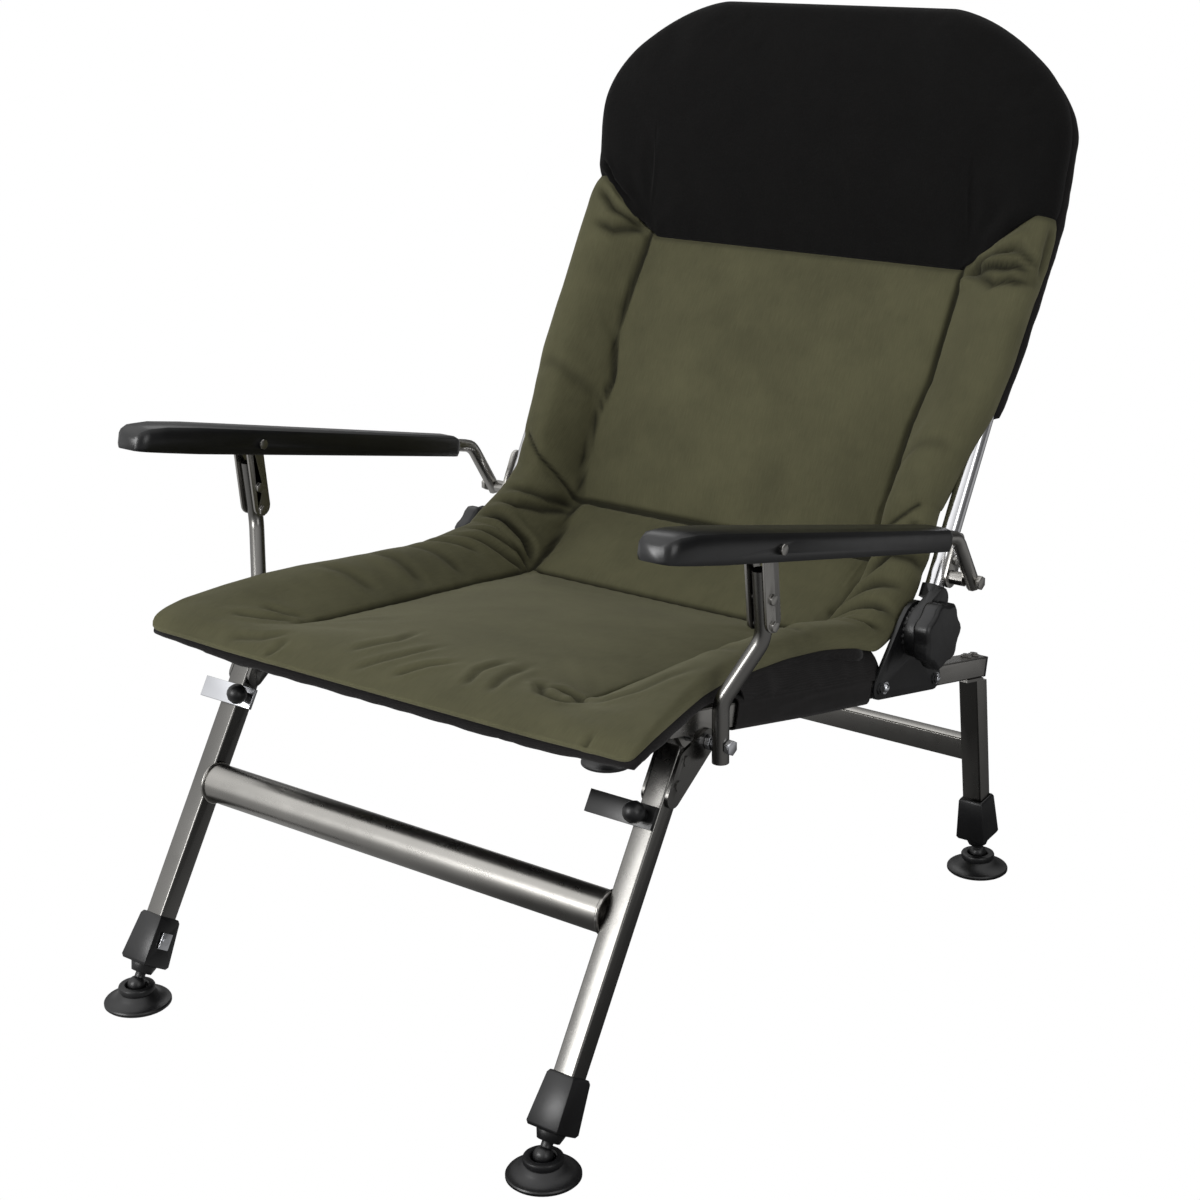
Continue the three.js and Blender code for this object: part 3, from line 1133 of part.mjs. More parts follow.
function headPadWidth(along) {
  const radius = HEAD_CORNER_RADIUS + HEAD_PAD_MARGIN;
  const beyond = Math.max(0, along - BACK_TOP_AT + HEAD_CORNER_RADIUS);
  const full = BACK_X - HEAD_CORNER_RADIUS + Math.sqrt(Math.max(0, radius * radius - beyond * beyond));
  return Math.min(PAD_HALF_WIDTH, full);
}

function railSleeve() {
  const from = railAlongAt(SLEEVE_REAR_Y);
  const to = railAlongAt(SLEEVE_FRONT_Y);
  return cut(railBlock(GAP + SLEEVE_WALL, from, to), railBlock(GAP, from - OVERRUN, to + OVERRUN));
}

function makeCover() {
  place('seat_pad', seatPad(), oliveFabric);
  place('lumbar_pad', hungPad({
    start: LUMBAR_START,
    end: LUMBAR_END,
    halfWidth: () => LUMBAR_HALF_WIDTH,
    centre: (row) => lerp(LUMBAR_START_RISE, -BACK_PAD_SETBACK, row),
    thickness: LUMBAR_THICKNESS,
    rim: false,
  }), oliveFabric);
  place('back_pad', cut(hungPad({
    start: LUMBAR_END + GAP,
    end: BACK_PAD_END,
    halfWidth: backPadWidth,
    centre: (row) => -BACK_PAD_SETBACK * (1 - row),
    thickness: BACK_PAD_THICKNESS,
    rim: true,
  }), backTube(GAP, 0)), oliveFabric);
  place('head_pad', cut(hungPad({
    start: BACK_PAD_END + GAP,
    end: BACK_TOP_AT + HEAD_PAD_MARGIN,
    halfWidth: headPadWidth,
    centre: (row) => HEAD_PAD_THICKNESS * smoothstep(row, 0, 1) + HEAD_PAD_RISE * row * (1 - row),
    thickness: HEAD_PAD_THICKNESS,
    rim: true,
  }), backTube(GAP, 0)), fleece);
}

makeFrame();
makeFrontLegs();
makeRearLegs();
makeFeet();
makeLatches();
makeHinges();
place('back_frame', backTube(0, BACK_TUBE_WALL), brightSteel);
makeArms();
makeCover();

// The origin lies on the ground under the middle of the chair's depth.
const box = new THREE.Box3().setFromObject(chair, true);
chair.position.y = -half(box.min.y + box.max.y);

export default chair;
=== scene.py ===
import json
from contextlib import contextmanager
from math import atan2, ceil, cos, exp, hypot, pi, radians, sin, sqrt

import bmesh
import bpy
import numpy as np
from mathutils import Matrix, Vector, noise


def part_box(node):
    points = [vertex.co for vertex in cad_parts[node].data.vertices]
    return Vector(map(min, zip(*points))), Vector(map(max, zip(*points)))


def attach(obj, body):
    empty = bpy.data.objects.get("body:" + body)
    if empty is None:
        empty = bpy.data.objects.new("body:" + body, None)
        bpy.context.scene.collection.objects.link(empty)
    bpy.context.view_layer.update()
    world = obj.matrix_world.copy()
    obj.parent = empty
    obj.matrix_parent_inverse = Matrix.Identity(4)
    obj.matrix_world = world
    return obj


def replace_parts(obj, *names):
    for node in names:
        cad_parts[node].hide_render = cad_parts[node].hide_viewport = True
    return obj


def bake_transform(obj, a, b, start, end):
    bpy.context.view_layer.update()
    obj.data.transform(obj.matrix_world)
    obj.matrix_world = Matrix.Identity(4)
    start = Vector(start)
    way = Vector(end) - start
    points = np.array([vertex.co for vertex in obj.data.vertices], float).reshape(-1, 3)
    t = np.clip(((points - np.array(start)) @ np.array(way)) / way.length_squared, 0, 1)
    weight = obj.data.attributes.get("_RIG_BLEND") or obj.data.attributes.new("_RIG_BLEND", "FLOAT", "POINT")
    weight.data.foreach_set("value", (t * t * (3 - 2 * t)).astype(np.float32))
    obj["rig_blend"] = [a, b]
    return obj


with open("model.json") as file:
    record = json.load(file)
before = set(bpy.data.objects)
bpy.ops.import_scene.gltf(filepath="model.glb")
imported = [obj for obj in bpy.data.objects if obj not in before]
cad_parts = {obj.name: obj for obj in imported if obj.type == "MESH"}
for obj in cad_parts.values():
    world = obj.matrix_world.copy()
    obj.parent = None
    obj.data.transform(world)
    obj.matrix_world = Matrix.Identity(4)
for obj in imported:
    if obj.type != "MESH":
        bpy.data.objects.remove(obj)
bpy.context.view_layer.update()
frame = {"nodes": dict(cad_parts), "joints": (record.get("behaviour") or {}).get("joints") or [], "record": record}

MM = 0.001
SIDES = {"left": -1, "right": 1}
ENDS = ("front", "rear")

# The back tube: its angles from level, and distances up its line from its foot beside the hinge, in metres
BACK_ANGLE = radians(60)
HEAD_ANGLE = radians(77)
BACK_OFFSET = 0.0105  # the hinge stands this far in front of the tube's line
HEAD_BEND_AT = 0.4298
HEAD_BEND_LENGTH = 0.056
TUBE_START_AT = 0.0374
TUBE_TOP_AT = 0.6105
TUBE_X = 0.266
TUBE_RADIUS = 0.0095
TUBE_CORNER = 0.150

joints = {j["name"]: j for j in frame["joints"]}
HINGE = Vector((0, *joints["back_recline"]["pos_m"][1:]))


def lerp(a, b, t):
    return a + (b - a) * t


def smoothstep(x, low, high):
    t = min(1, max(0, (x - low) / (high - low)))
    return t * t * (3 - 2 * t)


def smooth_steps(x, low, high):
    t = np.clip((x - low) / (high - low), 0, 1)
    return t * t * (3 - 2 * t)


def bell(gap, width):
    return np.exp(-((gap / width) ** 2))


def deselect():
    if bpy.context.object and bpy.context.object.mode != "OBJECT":
        bpy.ops.object.mode_set(mode="OBJECT")
    bpy.ops.object.select_all(action="DESELECT")


def only(piece):
    deselect()
    piece.select_set(True)
    bpy.context.view_layer.objects.active = piece
    return piece


def settle(piece):
    only(piece)
    bpy.ops.object.transform_apply(location=True, rotation=True, scale=True)
    return piece


def apply_modifiers(piece):
    only(piece)
    for modifier in list(piece.modifiers):
        bpy.ops.object.modifier_apply(modifier=modifier.name)
    return piece


def primitive(add, **settings):
    """Adds a primitive with nothing else selected, and moves its place into its mesh."""
    deselect()
    add(**settings)
    return settle(bpy.context.object)


@contextmanager
def editing(piece, kind=None, wanted=None):
    """Edit mode with all of a piece selected, or only its wanted "polygons" or "edges"."""
    only(piece)
    bpy.ops.object.mode_set(mode="EDIT")
    if kind:
        bpy.ops.mesh.select_mode(type={"polygons": "FACE", "edges": "EDGE"}[kind])
        bpy.ops.mesh.select_all(action="DESELECT")
        bpy.ops.object.mode_set(mode="OBJECT")
        for element in getattr(piece.data, kind):
            element.select = wanted(element)
        bpy.ops.object.mode_set(mode="EDIT")
    else:
        bpy.ops.mesh.select_all(action="SELECT")
    yield
    bpy.ops.object.mode_set(mode="OBJECT")


def in_scene(name, data):
    piece = bpy.data.objects.new(name, data)
    bpy.context.scene.collection.objects.link(piece)
    return piece


def new_piece(name, points, faces):
    mesh = bpy.data.meshes.new(name)
    mesh.from_pydata([tuple(p) for p in points], [], faces)
    return in_scene(name, mesh)


def copy_of(piece, name, place=(0, 0, 0), turn=0.0):
    """A copy with its own mesh, turned about the vertical and moved to its place."""
    twin = in_scene(name, piece.data.copy())
    twin.location = place
    twin.rotation_euler.z = turn
    return settle(twin)


def give_wall(piece, thickness, offset):
    wall = piece.modifiers.new("Cloth wall", "SOLIDIFY")
    wall.thickness, wall.offset = thickness * MM, offset
    return apply_modifiers(piece)


def finish_piece(piece, name, body, slot, replaced=(), smooth=35, material=None):
    """Names a piece, gives it its slot's material, and ties it to its body and the CAD nodes it replaces."""
    piece.name = name
    piece.data.name = name
    piece.data.materials.clear()
    piece.data.materials.append(material or NODE_FINISH[slot])
    only(piece)
    bpy.ops.object.shade_smooth_by_angle(angle=radians(smooth))
    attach(piece, body)
    if replaced:
        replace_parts(piece, *replaced)
    return piece


class Nodes:
    """A node tree that is built node by node."""

    def __init__(self, tree):
        self.tree = tree

    def node(self, kind, **settings):
        node = self.tree.nodes.new("ShaderNode" + kind)
        for key, value in settings.items():
            if key in node.inputs:
                node.inputs[key].default_value = value
            else:
                setattr(node, key, value)
        return node

    def link(self, source, target):
        self.tree.links.new(source, target)

    def math(self, operation, *values):
        node = self.node("Math", operation=operation)
        for socket, value in zip(node.inputs, values):
            if isinstance(value, (int, float)):
                socket.default_value = value
            else:
                self.link(value, socket)
        return node.outputs["Value"]

    def map_range(self, value, limits, levels):
        node = self.node("MapRange")
        for name, number in zip(("From Min", "From Max", "To Min", "To Max"), (*limits, *levels)):
            node.inputs[name].default_value = number
        self.link(value, node.inputs["Value"])
        return node.outputs["Result"]

    def ramp(self, factor, *stops):
        node = self.node("ValToRGB")
        elements = node.color_ramp.elements
        for number, (at, color) in enumerate(stops):
            element = elements[number] if number < len(elements) else elements.new(at)
            element.position = at
            element.color = (*color, 1)
        self.link(factor, node.inputs["Fac"])
        return node.outputs["Color"]

    def mixed(self, ray, usual, seen):
        """The usual shader, but another one for one kind of ray."""
        mix = self.node("MixShader")
        self.link(self.node("LightPath").outputs[ray], mix.inputs["Fac"])
        self.link(usual, mix.inputs[1])
        self.link(seen, mix.inputs[2])
        return mix.outputs["Shader"]


class Finish(Nodes):
    """A Principled material whose nodes are added one by one."""

    def __init__(self, name, color, roughness, metallic=0.0):
        self.material = bpy.data.materials.new(name)
        self.material.use_nodes = True
        super().__init__(self.material.node_tree)
        self.shader = self.tree.nodes["Principled BSDF"]
        self.put("Base Color", (*color, 1))
        self.put("Roughness", roughness)
        self.put("Metallic", metallic)
        self.bump = None

    def put(self, socket, value):
        self.shader.inputs[socket].default_value = value

    def coordinates(self, kind="Object", scale=(1, 1, 1)):
        mapping = self.node("Mapping", Scale=scale)
        self.link(self.node("TexCoord").outputs[kind], mapping.inputs["Vector"])
        return mapping.outputs["Vector"]

    def noise(self, scale, detail, roughness=0.5, vector=None):
        node = self.node("TexNoise", Scale=scale, Detail=detail, Roughness=roughness)
        self.link(vector or self.coordinates(), node.inputs["Vector"])
        return node.outputs["Fac"]

    def wave(self, pitch, vector, direction):
        node = self.node("TexWave", wave_type="BANDS", bands_direction=direction, wave_profile="SIN",
                         Scale=pi / 10 / pitch, Distortion=0.0)
        self.link(vector, node.inputs["Vector"])
        return node.outputs["Fac"]

    def color_by(self, factor, *stops):
        self.link(self.ramp(factor, *stops), self.shader.inputs["Base Color"])

    def darken_by(self, attribute, most):
        """Darkens the base colour where the piece's own attribute is 1."""
        base = self.shader.inputs["Base Color"]
        stored = self.node("Attribute", attribute_name=attribute).outputs["Fac"]
        scale = self.node("VectorMath", operation="SCALE")
        self.link(base.links[0].from_socket, scale.inputs[0])
        self.link(self.math("MULTIPLY_ADD", stored, -most, 1.0), scale.inputs["Scale"])
        self.link(scale.outputs["Vector"], base)

    def roughness_by(self, factor, low, high):
        self.link(self.map_range(factor, (0.0, 1.0), (low, high)), self.shader.inputs["Roughness"])

    def raise_by(self, height, distance, strength):
        node = self.node("Bump", Distance=distance, Strength=strength)
        self.link(height, node.inputs["Height"])
        if self.bump:
            self.link(self.bump, node.inputs["Normal"])
        self.bump = node.outputs["Normal"]
        self.link(self.bump, self.shader.inputs["Normal"])

    def soften(self, sheen, sheen_roughness, tint, specular):
        self.put("Sheen Weight", sheen)
        self.put("Sheen Roughness", sheen_roughness)
        self.put("Sheen Tint", (*tint, 1))
        self.put("Specular IOR Level", specular)


def shade(color, factor):
    return tuple(channel * factor for channel in color)


def satin_metal(name, color, roughness, grain=0.06 * MM):
    finish = Finish(name, color, roughness, 1.0)
    broad = finish.noise(9.0, 2.0)
    finish.color_by(broad, (0.3, shade(color, 0.86)), (0.7, shade(color, 1.08)))
    fine = finish.noise(900.0, 2.0)
    finish.roughness_by(finish.noise(60.0, 4.0), roughness * 0.8, roughness * 1.3)
    finish.raise_by(fine, grain, 0.2)
    return finish.material


def moulded_plastic(name, color, roughness, pebble, depth):
    finish = Finish(name, color, roughness)
    finish.color_by(finish.noise(30.0, 4.0), (0.3, shade(color, 0.75)), (0.7, shade(color, 1.35)))
    finish.roughness_by(finish.noise(90.0, 4.0), roughness * 0.85, roughness * 1.2)
    finish.raise_by(finish.noise(pebble, 2.0), depth, 0.6)
    return finish.material


def woven_cloth(name, color, thread, depth, sheen, coordinates="UV"):
    """Woven polyester. Where a piece keeps painted crease shade, painted shade darkens the cloth in its seams and
    folds.
    """
    finish = Finish(name, color, 0.85)
    finish.soften(sheen, 0.45, tuple(min(1, c * 4 + 0.25) for c in color), 0.16)
    vector = finish.coordinates(coordinates)
    weave = finish.math("MULTIPLY", finish.wave(thread, vector, "X"), finish.wave(thread, vector, "Y"))
    broad = finish.noise(14.0, 5.0, 0.6)
    slub = finish.noise(1.0, 2.0, 0.5, finish.coordinates(coordinates, (900, 60, 60)))
    tone = finish.math("ADD", finish.math("MULTIPLY", broad, 0.55), finish.math("MULTIPLY", slub, 0.25))
    tone = finish.math("ADD", tone, finish.math("MULTIPLY", weave, 0.2))
    finish.color_by(tone, (0.3, shade(color, 0.72)), (0.5, color), (0.72, shade(color, 1.22)))
    # Painted shade: darkens the base colour in the seams and folds, where shade falls.
    finish.darken_by("crease", 0.82)
    finish.raise_by(weave, depth, 0.7)
    finish.raise_by(finish.noise(55.0, 5.0, 0.6), 0.9 * MM, 0.35)
    return finish.material


def fleece(name, color):
    """Short brushed fleece: a fine pile in broader brushed patches."""
    finish = Finish(name, color, 0.95)
    finish.soften(0.10, 0.6, (0.35, 0.34, 0.34), 0.12)
    pile = finish.noise(700.0, 5.0, 0.7)
    brushed = finish.noise(24.0, 4.0, 0.6)
    tone = finish.math("ADD", finish.math("MULTIPLY", pile, 0.5), finish.math("MULTIPLY", brushed, 0.5))
    finish.color_by(tone, (0.3, shade(color, 0.6)), (0.7, shade(color, 1.5)))
    finish.raise_by(pile, 1.2 * MM, 0.6)
    finish.raise_by(brushed, 1.5 * MM, 0.4)
    return finish.material


# Painted shade: a much darker copy of the graphite steel, for the right latch strip only.
GRAPHITE_PAINTED_SHADE = satin_metal("graphite_steel_dark", (0.05, 0.05, 0.05), 0.35)
# Painted shade: a darker copy of the graphite steel, for the front legs and the struts.
GRAPHITE_SHADED_LEG = satin_metal("graphite_steel_leg", (0.17, 0.166, 0.158), 0.25)
NODE_FINISH = {
    "graphite_steel": satin_metal("graphite_steel", (0.36, 0.35, 0.33), 0.27),
    "bright_tube": satin_metal("bright_tube", (0.72, 0.72, 0.74), 0.16, 0.02 * MM),
    "zinc_fastener": satin_metal("zinc_fastener", (0.70, 0.71, 0.74), 0.24),
    "black_plastic": moulded_plastic("black_plastic", (0.0045, 0.0045, 0.005), 0.36, 1500.0, 0.12 * MM),
    "armrest_plastic": moulded_plastic("armrest_plastic", (0.0050, 0.0052, 0.0056), 0.30, 900.0, 0.08 * MM),
    "olive_fabric": woven_cloth("olive_fabric", (0.098, 0.094, 0.051), 0.9 * MM, 0.10 * MM, 0.16),
    "black_fabric": woven_cloth("black_fabric", (0.011, 0.010, 0.010), 1.1 * MM, 0.16 * MM, 0.25, "Object"),
    "black_fleece": fleece("black_fleece", (0.0028, 0.0027, 0.0026)),
}
slots = {part["node"]: part["material_slot"] for part in frame["record"]["subparts"]}
for node_name, node in frame["nodes"].items():
    node.data.materials.clear()
    node.data.materials.append(NODE_FINISH[slots[node_name]])

# Stations of the cover's middle line from the front edge to the top, as offsets from the hinge
# (depth, height), with half width, side rise, rim radius and the places of the two long seams, in mm.
SEAT_STATIONS = (
    # depth  height  half   rise  rim  seam left, right
    (-478.0, 30.0, 283.0, 1.0, 4.0, 176, 178),
    (-472.0, 35.0, 285.5, 2.0, 4.5, 175, 178),
    (-460.0, 37.5, 285.5, 4.0, 5.0, 174, 178),
    (-440.0, 38.5, 282.5, 8.0, 7.0, 170, 178),
    (-395.0, 35.0, 273.0, 16.0, 9.0, 164, 178),
    (-355.0, 32.0, 264.5, 21.0, 10.0, 160, 177),
    (-312.0, 28.0, 257.0, 24.0, 11.0, 159, 176),
    (-271.0, 23.5, 252.0, 25.0, 12.0, 159, 176),
    (-199.0, 16.0, 247.0, 26.0, 13.0, 161, 177),
    (-152.0, 10.5, 245.0, 26.0, 14.0, 163, 178),
    (-70.0, -1.0, 243.0, 29.0, 16.0, 168, 182),
    (-50.0, -3.5, 243.5, 32.0, 17.0, 169, 185),
)
# Stations on the back, as (distance up the back line, distance in front of it).
BACK_STATIONS = (
    (66.0, -12.5, 253.0, 54.0, 22.0, 185, 180),
    (110.0, -13.0, 256.0, 56.0, 24.0, 193, 178),
    (160.0, -12.0, 265.0, 48.0, 23.0, 196, 178),
    (205.0, -10.0, 277.0, 37.0, 20.0, 191, 180),
    (250.0, -8.0, 281.0, 30.0, 19.0, 204, 189),
    (310.0, -5.0, 283.0, 26.0, 19.0, 201, 191),
    (368.0, -2.5, 283.5, 22.0, 19.0, 196, 192),
)
HEAD_STATIONS = (
    (400.0, 5.0, 284.0, 15.5, 19.0),
    (440.0, 12.0, 285.0, 10.0, 19.0),
    (480.0, 18.0, 286.0, 4.5, 19.0),
    (520.0, 21.0, 286.0, 1.0, 19.0),
    (560.0, 21.5, 286.0, 0.0, 19.0),
    (590.0, 20.0, 286.0, 0.0, 19.0),
    (609.0, 19.0, 286.0, 0.0, 19.0),
)
SEAT_SLOPE = radians(-5)
LUMBAR_SAG = 5.0
HEAD_SEAM_AT = BACK_STATIONS[-1][0]
HEAD_SEAM_RISE = ((190, 0), (215, 17), (245, 41), (283, 72))  # the seam climbs towards the edges
BACK_LINE_LENGTH = 660
CELL = 6.5  # mesh size
RIM_STEPS = 8
SEAT_RIM_TURN = radians(115)  # the seat's edge only turns under, the back's wraps the tube
BACK_RIM_TURN = radians(165)
CROOK_BULGE, CROOK_BULGE_RISE, CROOK_BULGE_LENGTH = 14.0, 8.0, 75.0  # mm, the bolsters beside the hinge
RIGHT_CROOK_LOSS, RIGHT_CROOK_LENGTH = 0.5, 85.0  # share of the rise that the right bolster loses there
RISE_TURN_LENGTH = 55.0  # mm of cloth over which the bolsters turn from the seat to the back
RIGHT_CROOK_AT = 25.0  # past the lower seam
# Column places from the middle (0) over the long seam to the rim (1), and the extra ones close to the seam
SEAM_COLUMN = 0.72
NEAR_SEAM = (0.0, 0.0038, 0.0085, 0.015, 0.024)
INNER_COLUMNS, OUTER_COLUMNS = 31, 12
SEAM_REACH_SHARE = 0.75  # of the width inside the rim, which the seam stays within
TUBE_CORNER_FROM = 440.0
NEAR_CROSS_SEAM = (1.2, 2.8)


def uphill(angle):
    """The direction of a line that climbs backwards at this angle from level."""
    return Vector((0, cos(angle), sin(angle)))


def square_to(angle):
    """The direction square to such a line, forwards and up."""
    return Vector((0, -sin(angle), cos(angle)))


def back_line():
    """Points and directions along the back tube's line, every millimetre."""
    point = HINGE - square_to(BACK_ANGLE) * BACK_OFFSET
    line = []
    for step in range(BACK_LINE_LENGTH):
        half = HEAD_BEND_LENGTH / 2
        share = smoothstep(step * MM, HEAD_BEND_AT - half, HEAD_BEND_AT + half)
        angle = lerp(BACK_ANGLE, HEAD_ANGLE, share)
        line.append((point.copy(), angle))
        point = point + uphill(angle) * MM
    return line


BACK_LINE = back_line()


def back_point(x, along, ahead):
    """A point of the back: x, distance up the tube's line, distance in front of it, in mm."""
    step = int(min(max(along, 0), len(BACK_LINE) - 2))
    point, angle = BACK_LINE[step]
    return (point + uphill(angle) * (along - step) * MM
            + Vector((x * MM, -sin(angle) * ahead * MM, cos(angle) * ahead * MM)))


class Cover:
    """The grid of the cover: rows from the seat's front edge to the head, columns from left to right."""

    def __init__(self):
        self.rows = []
        self.marks = {}
        self.seat_rows()
        self.mark("lower")
        self.lumbar_rows()
        self.mark("upper")
        self.back_rows()
        self.mark("head")
        self.head_rows()
        self.columns = self.column_places()
        self.build()

    def mark(self, name):
        self.marks[name] = len(self.rows) - 1

    def between(self, stations, make):
        at = [station[0] for station in stations]
        length = abs(at[-1] - at[0])
        count = ceil(length / CELL)
        table = np.array([station[1:] for station in stations], float)
        steps = list(range(1, count)) if self.rows else list(range(0, count))
        shares = [step / count for step in steps] + [1.0]
        shares += [1 - gap / length for gap in NEAR_CROSS_SEAM]
        if self.rows:
            shares += [gap / length for gap in NEAR_CROSS_SEAM]
        for share in sorted(shares):
            here = lerp(at[0], at[-1], share)
            values = [np.interp(here, at, column) for column in table.T]
            self.rows.append(make(here, *values))

    def seat_rows(self):
        def row(depth, height, half, rise, rim, left, right):
            return dict(point=HINGE + Vector((0, depth, height)) * MM, up=square_to(SEAT_SLOPE), half=half,
                        rise=rise, rim=rim, seams=(left, right), head=0, along=None)
        self.between(SEAT_STATIONS, row)

    def lumbar_rows(self):
        first = self.rows[-1]
        along, ahead, *sizes = BACK_STATIONS[0]
        last = dict(zip(("half", "rise", "rim"), sizes))
        last_point = back_point(0, along, ahead)
        length = (last_point - first["point"]).length / MM
        count = ceil(length / CELL)
        direction = (last_point - first["point"]).normalized()
        up = Vector((0, -direction.z, direction.y))
        near = [gap / length for gap in NEAR_CROSS_SEAM]
        for t in sorted([step / count for step in range(1, count + 1)] + near + [1 - gap for gap in near]):
            self.rows.append(dict(
                {name: lerp(first[name], last[name], t) for name in last},
                point=first["point"].lerp(last_point, t) - up * LUMBAR_SAG * MM * sin(pi * t), up=up,
                head=0, along=None, seams=tuple(lerp(a, b, t) for a, b in zip(first["seams"], sizes[3:]))))

    def tube_row(self, along, ahead, half, rise, rim, seams, head):
        """A row on the back: head says how much of the head seam's climb it takes."""
        return dict(point=back_point(0, along, ahead), up=square_to(BACK_LINE[int(along)][1]), half=half,
                    rise=rise, rim=rim, seams=seams, head=head, along=along, ahead=ahead)

    def back_rows(self):
        start = BACK_STATIONS[0][0]
        self.between(BACK_STATIONS, lambda along, ahead, half, rise, rim, *seams: self.tube_row(
            along, ahead, half, rise, rim, seams, (along - start) / (HEAD_SEAM_AT - start)))

    def head_rows(self):
        start = self.rows[-1]
        top = HEAD_STATIONS[-1][0]
        joined = ((HEAD_SEAM_AT, start["ahead"], start["half"], start["rise"], start["rim"]),) + HEAD_STATIONS
        self.between(joined, lambda along, *sizes: self.tube_row(
            along, *sizes, start["seams"], (top - along) / (top - HEAD_SEAM_AT)))

    def seam_climb(self, x):
        """How far above the middle the head seam is at x."""
        return np.interp(abs(x), *zip((0, 0), *HEAD_SEAM_RISE))

    def head_half(self, along, inner):
        """Half width inside the rim where the head narrows round its corners."""
        radius = TUBE_CORNER / MM
        beyond = max(0.0, along - TUBE_TOP_AT / MM + radius)
        return min(inner, TUBE_X / MM - radius + sqrt(max(0, radius * radius - beyond * beyond)))

    def column_places(self):
        """Even columns that crowd together at the long seams, so that a sharp crease can be shown."""
        near = [SEAM_COLUMN + side * gap for gap in NEAR_SEAM for side in (-1, 1)]
        inner = np.linspace(0, SEAM_COLUMN - NEAR_SEAM[-1], INNER_COLUMNS)
        outer = np.linspace(SEAM_COLUMN + NEAR_SEAM[-1], 1, OUTER_COLUMNS)
        half = sorted({round(float(a), 6) for a in (*near, *inner, *outer)})
        return [-a for a in reversed(half[1:])] + half

    def column_x(self, row, a):
        """Spreads the columns so that two of them lie on the long seams."""
        inner = row["half"] - row["rim"]
        if row["along"] and row["along"] > TUBE_CORNER_FROM:
            inner = self.head_half(row["along"], inner)
        limit = min(row["seams"][0 if a < 0 else 1], inner * SEAM_REACH_SHARE)
        if abs(a) <= SEAM_COLUMN:
            placed = abs(a) / SEAM_COLUMN * limit
        else:
            placed = lerp(limit, inner, (abs(a) - SEAM_COLUMN) / (1 - SEAM_COLUMN))
        return placed * (1 if a >= 0 else -1)

    def build(self):
        self.grid = np.zeros((len(self.rows), len(self.columns), 3))
        self.seam_gap = np.zeros(self.grid.shape[:2])
        self.flat = np.zeros((*self.grid.shape[:2], 2))
        steps = [(b["point"] - a["point"]).length / MM for a, b in zip(self.rows, self.rows[1:])]
        walked = np.concatenate(([0.0], np.cumsum(steps)))
        crook = walked[self.marks["lower"]]
        for j, row in enumerate(self.rows):
            up = self.rise_direction(walked, j)
            near = exp(-(((walked[j] - crook) / CROOK_BULGE_LENGTH) ** 2))
            for i, a in enumerate(self.columns):
                x = self.column_x(row, a)
                seam = row["seams"][0 if a < 0 else 1]
                inner = row["half"] - row["rim"]
                side = smoothstep(abs(x), seam - 4, lerp(seam, inner, 0.75))
                x += (CROOK_BULGE if a > 0 else -CROOK_BULGE) * near * smoothstep(abs(a), SEAM_COLUMN, 1)
                rise = (row["rise"] + CROOK_BULGE_RISE * near) * side
                if a > 0:
                    past = (walked[j] - crook - RIGHT_CROOK_AT) / RIGHT_CROOK_LENGTH
                    rise *= 1 - RIGHT_CROOK_LOSS * exp(-(past ** 2))
                climb = self.seam_climb(x) * row["head"]
                if row["along"] is None:
                    point = row["point"] + Vector((x * MM, 0, 0))
                else:
                    point = back_point(x, row["along"] + climb, row["ahead"])
                self.grid[j, i] = point + up * rise * MM
                self.seam_gap[j, i] = abs(abs(x) - seam)
                self.flat[j, i] = (x * MM, walked[j] * MM)

    def rise_direction(self, walked, j):
        """The way in which the bolsters rise turns gently round the crook, so that they don't cross."""
        total = Vector((0, 0, 0))
        for k, row in enumerate(self.rows):
            if abs(walked[k] - walked[j]) < 2 * RISE_TURN_LENGTH:
                total += row["up"] * exp(-(((walked[k] - walked[j]) / RISE_TURN_LENGTH) ** 2))
        return total.normalized()


cover = Cover()


def boundary_loop(rows, columns):
    """Indices (row, column) round the whole grid, from the front edge's left corner anticlockwise."""
    front = [(0, i) for i in range(columns)]
    right = [(j, columns - 1) for j in range(1, rows)]
    top = [(rows - 1, i) for i in range(columns - 2, -1, -1)]
    left = [(j, 0) for j in range(rows - 2, 0, -1)]
    return front + right + top + left


def grid_normals(grid):
    along = np.gradient(grid, axis=0)
    across = np.gradient(grid, axis=1)
    normals = np.cross(across, along)
    return normals / np.linalg.norm(normals, axis=2, keepdims=True)


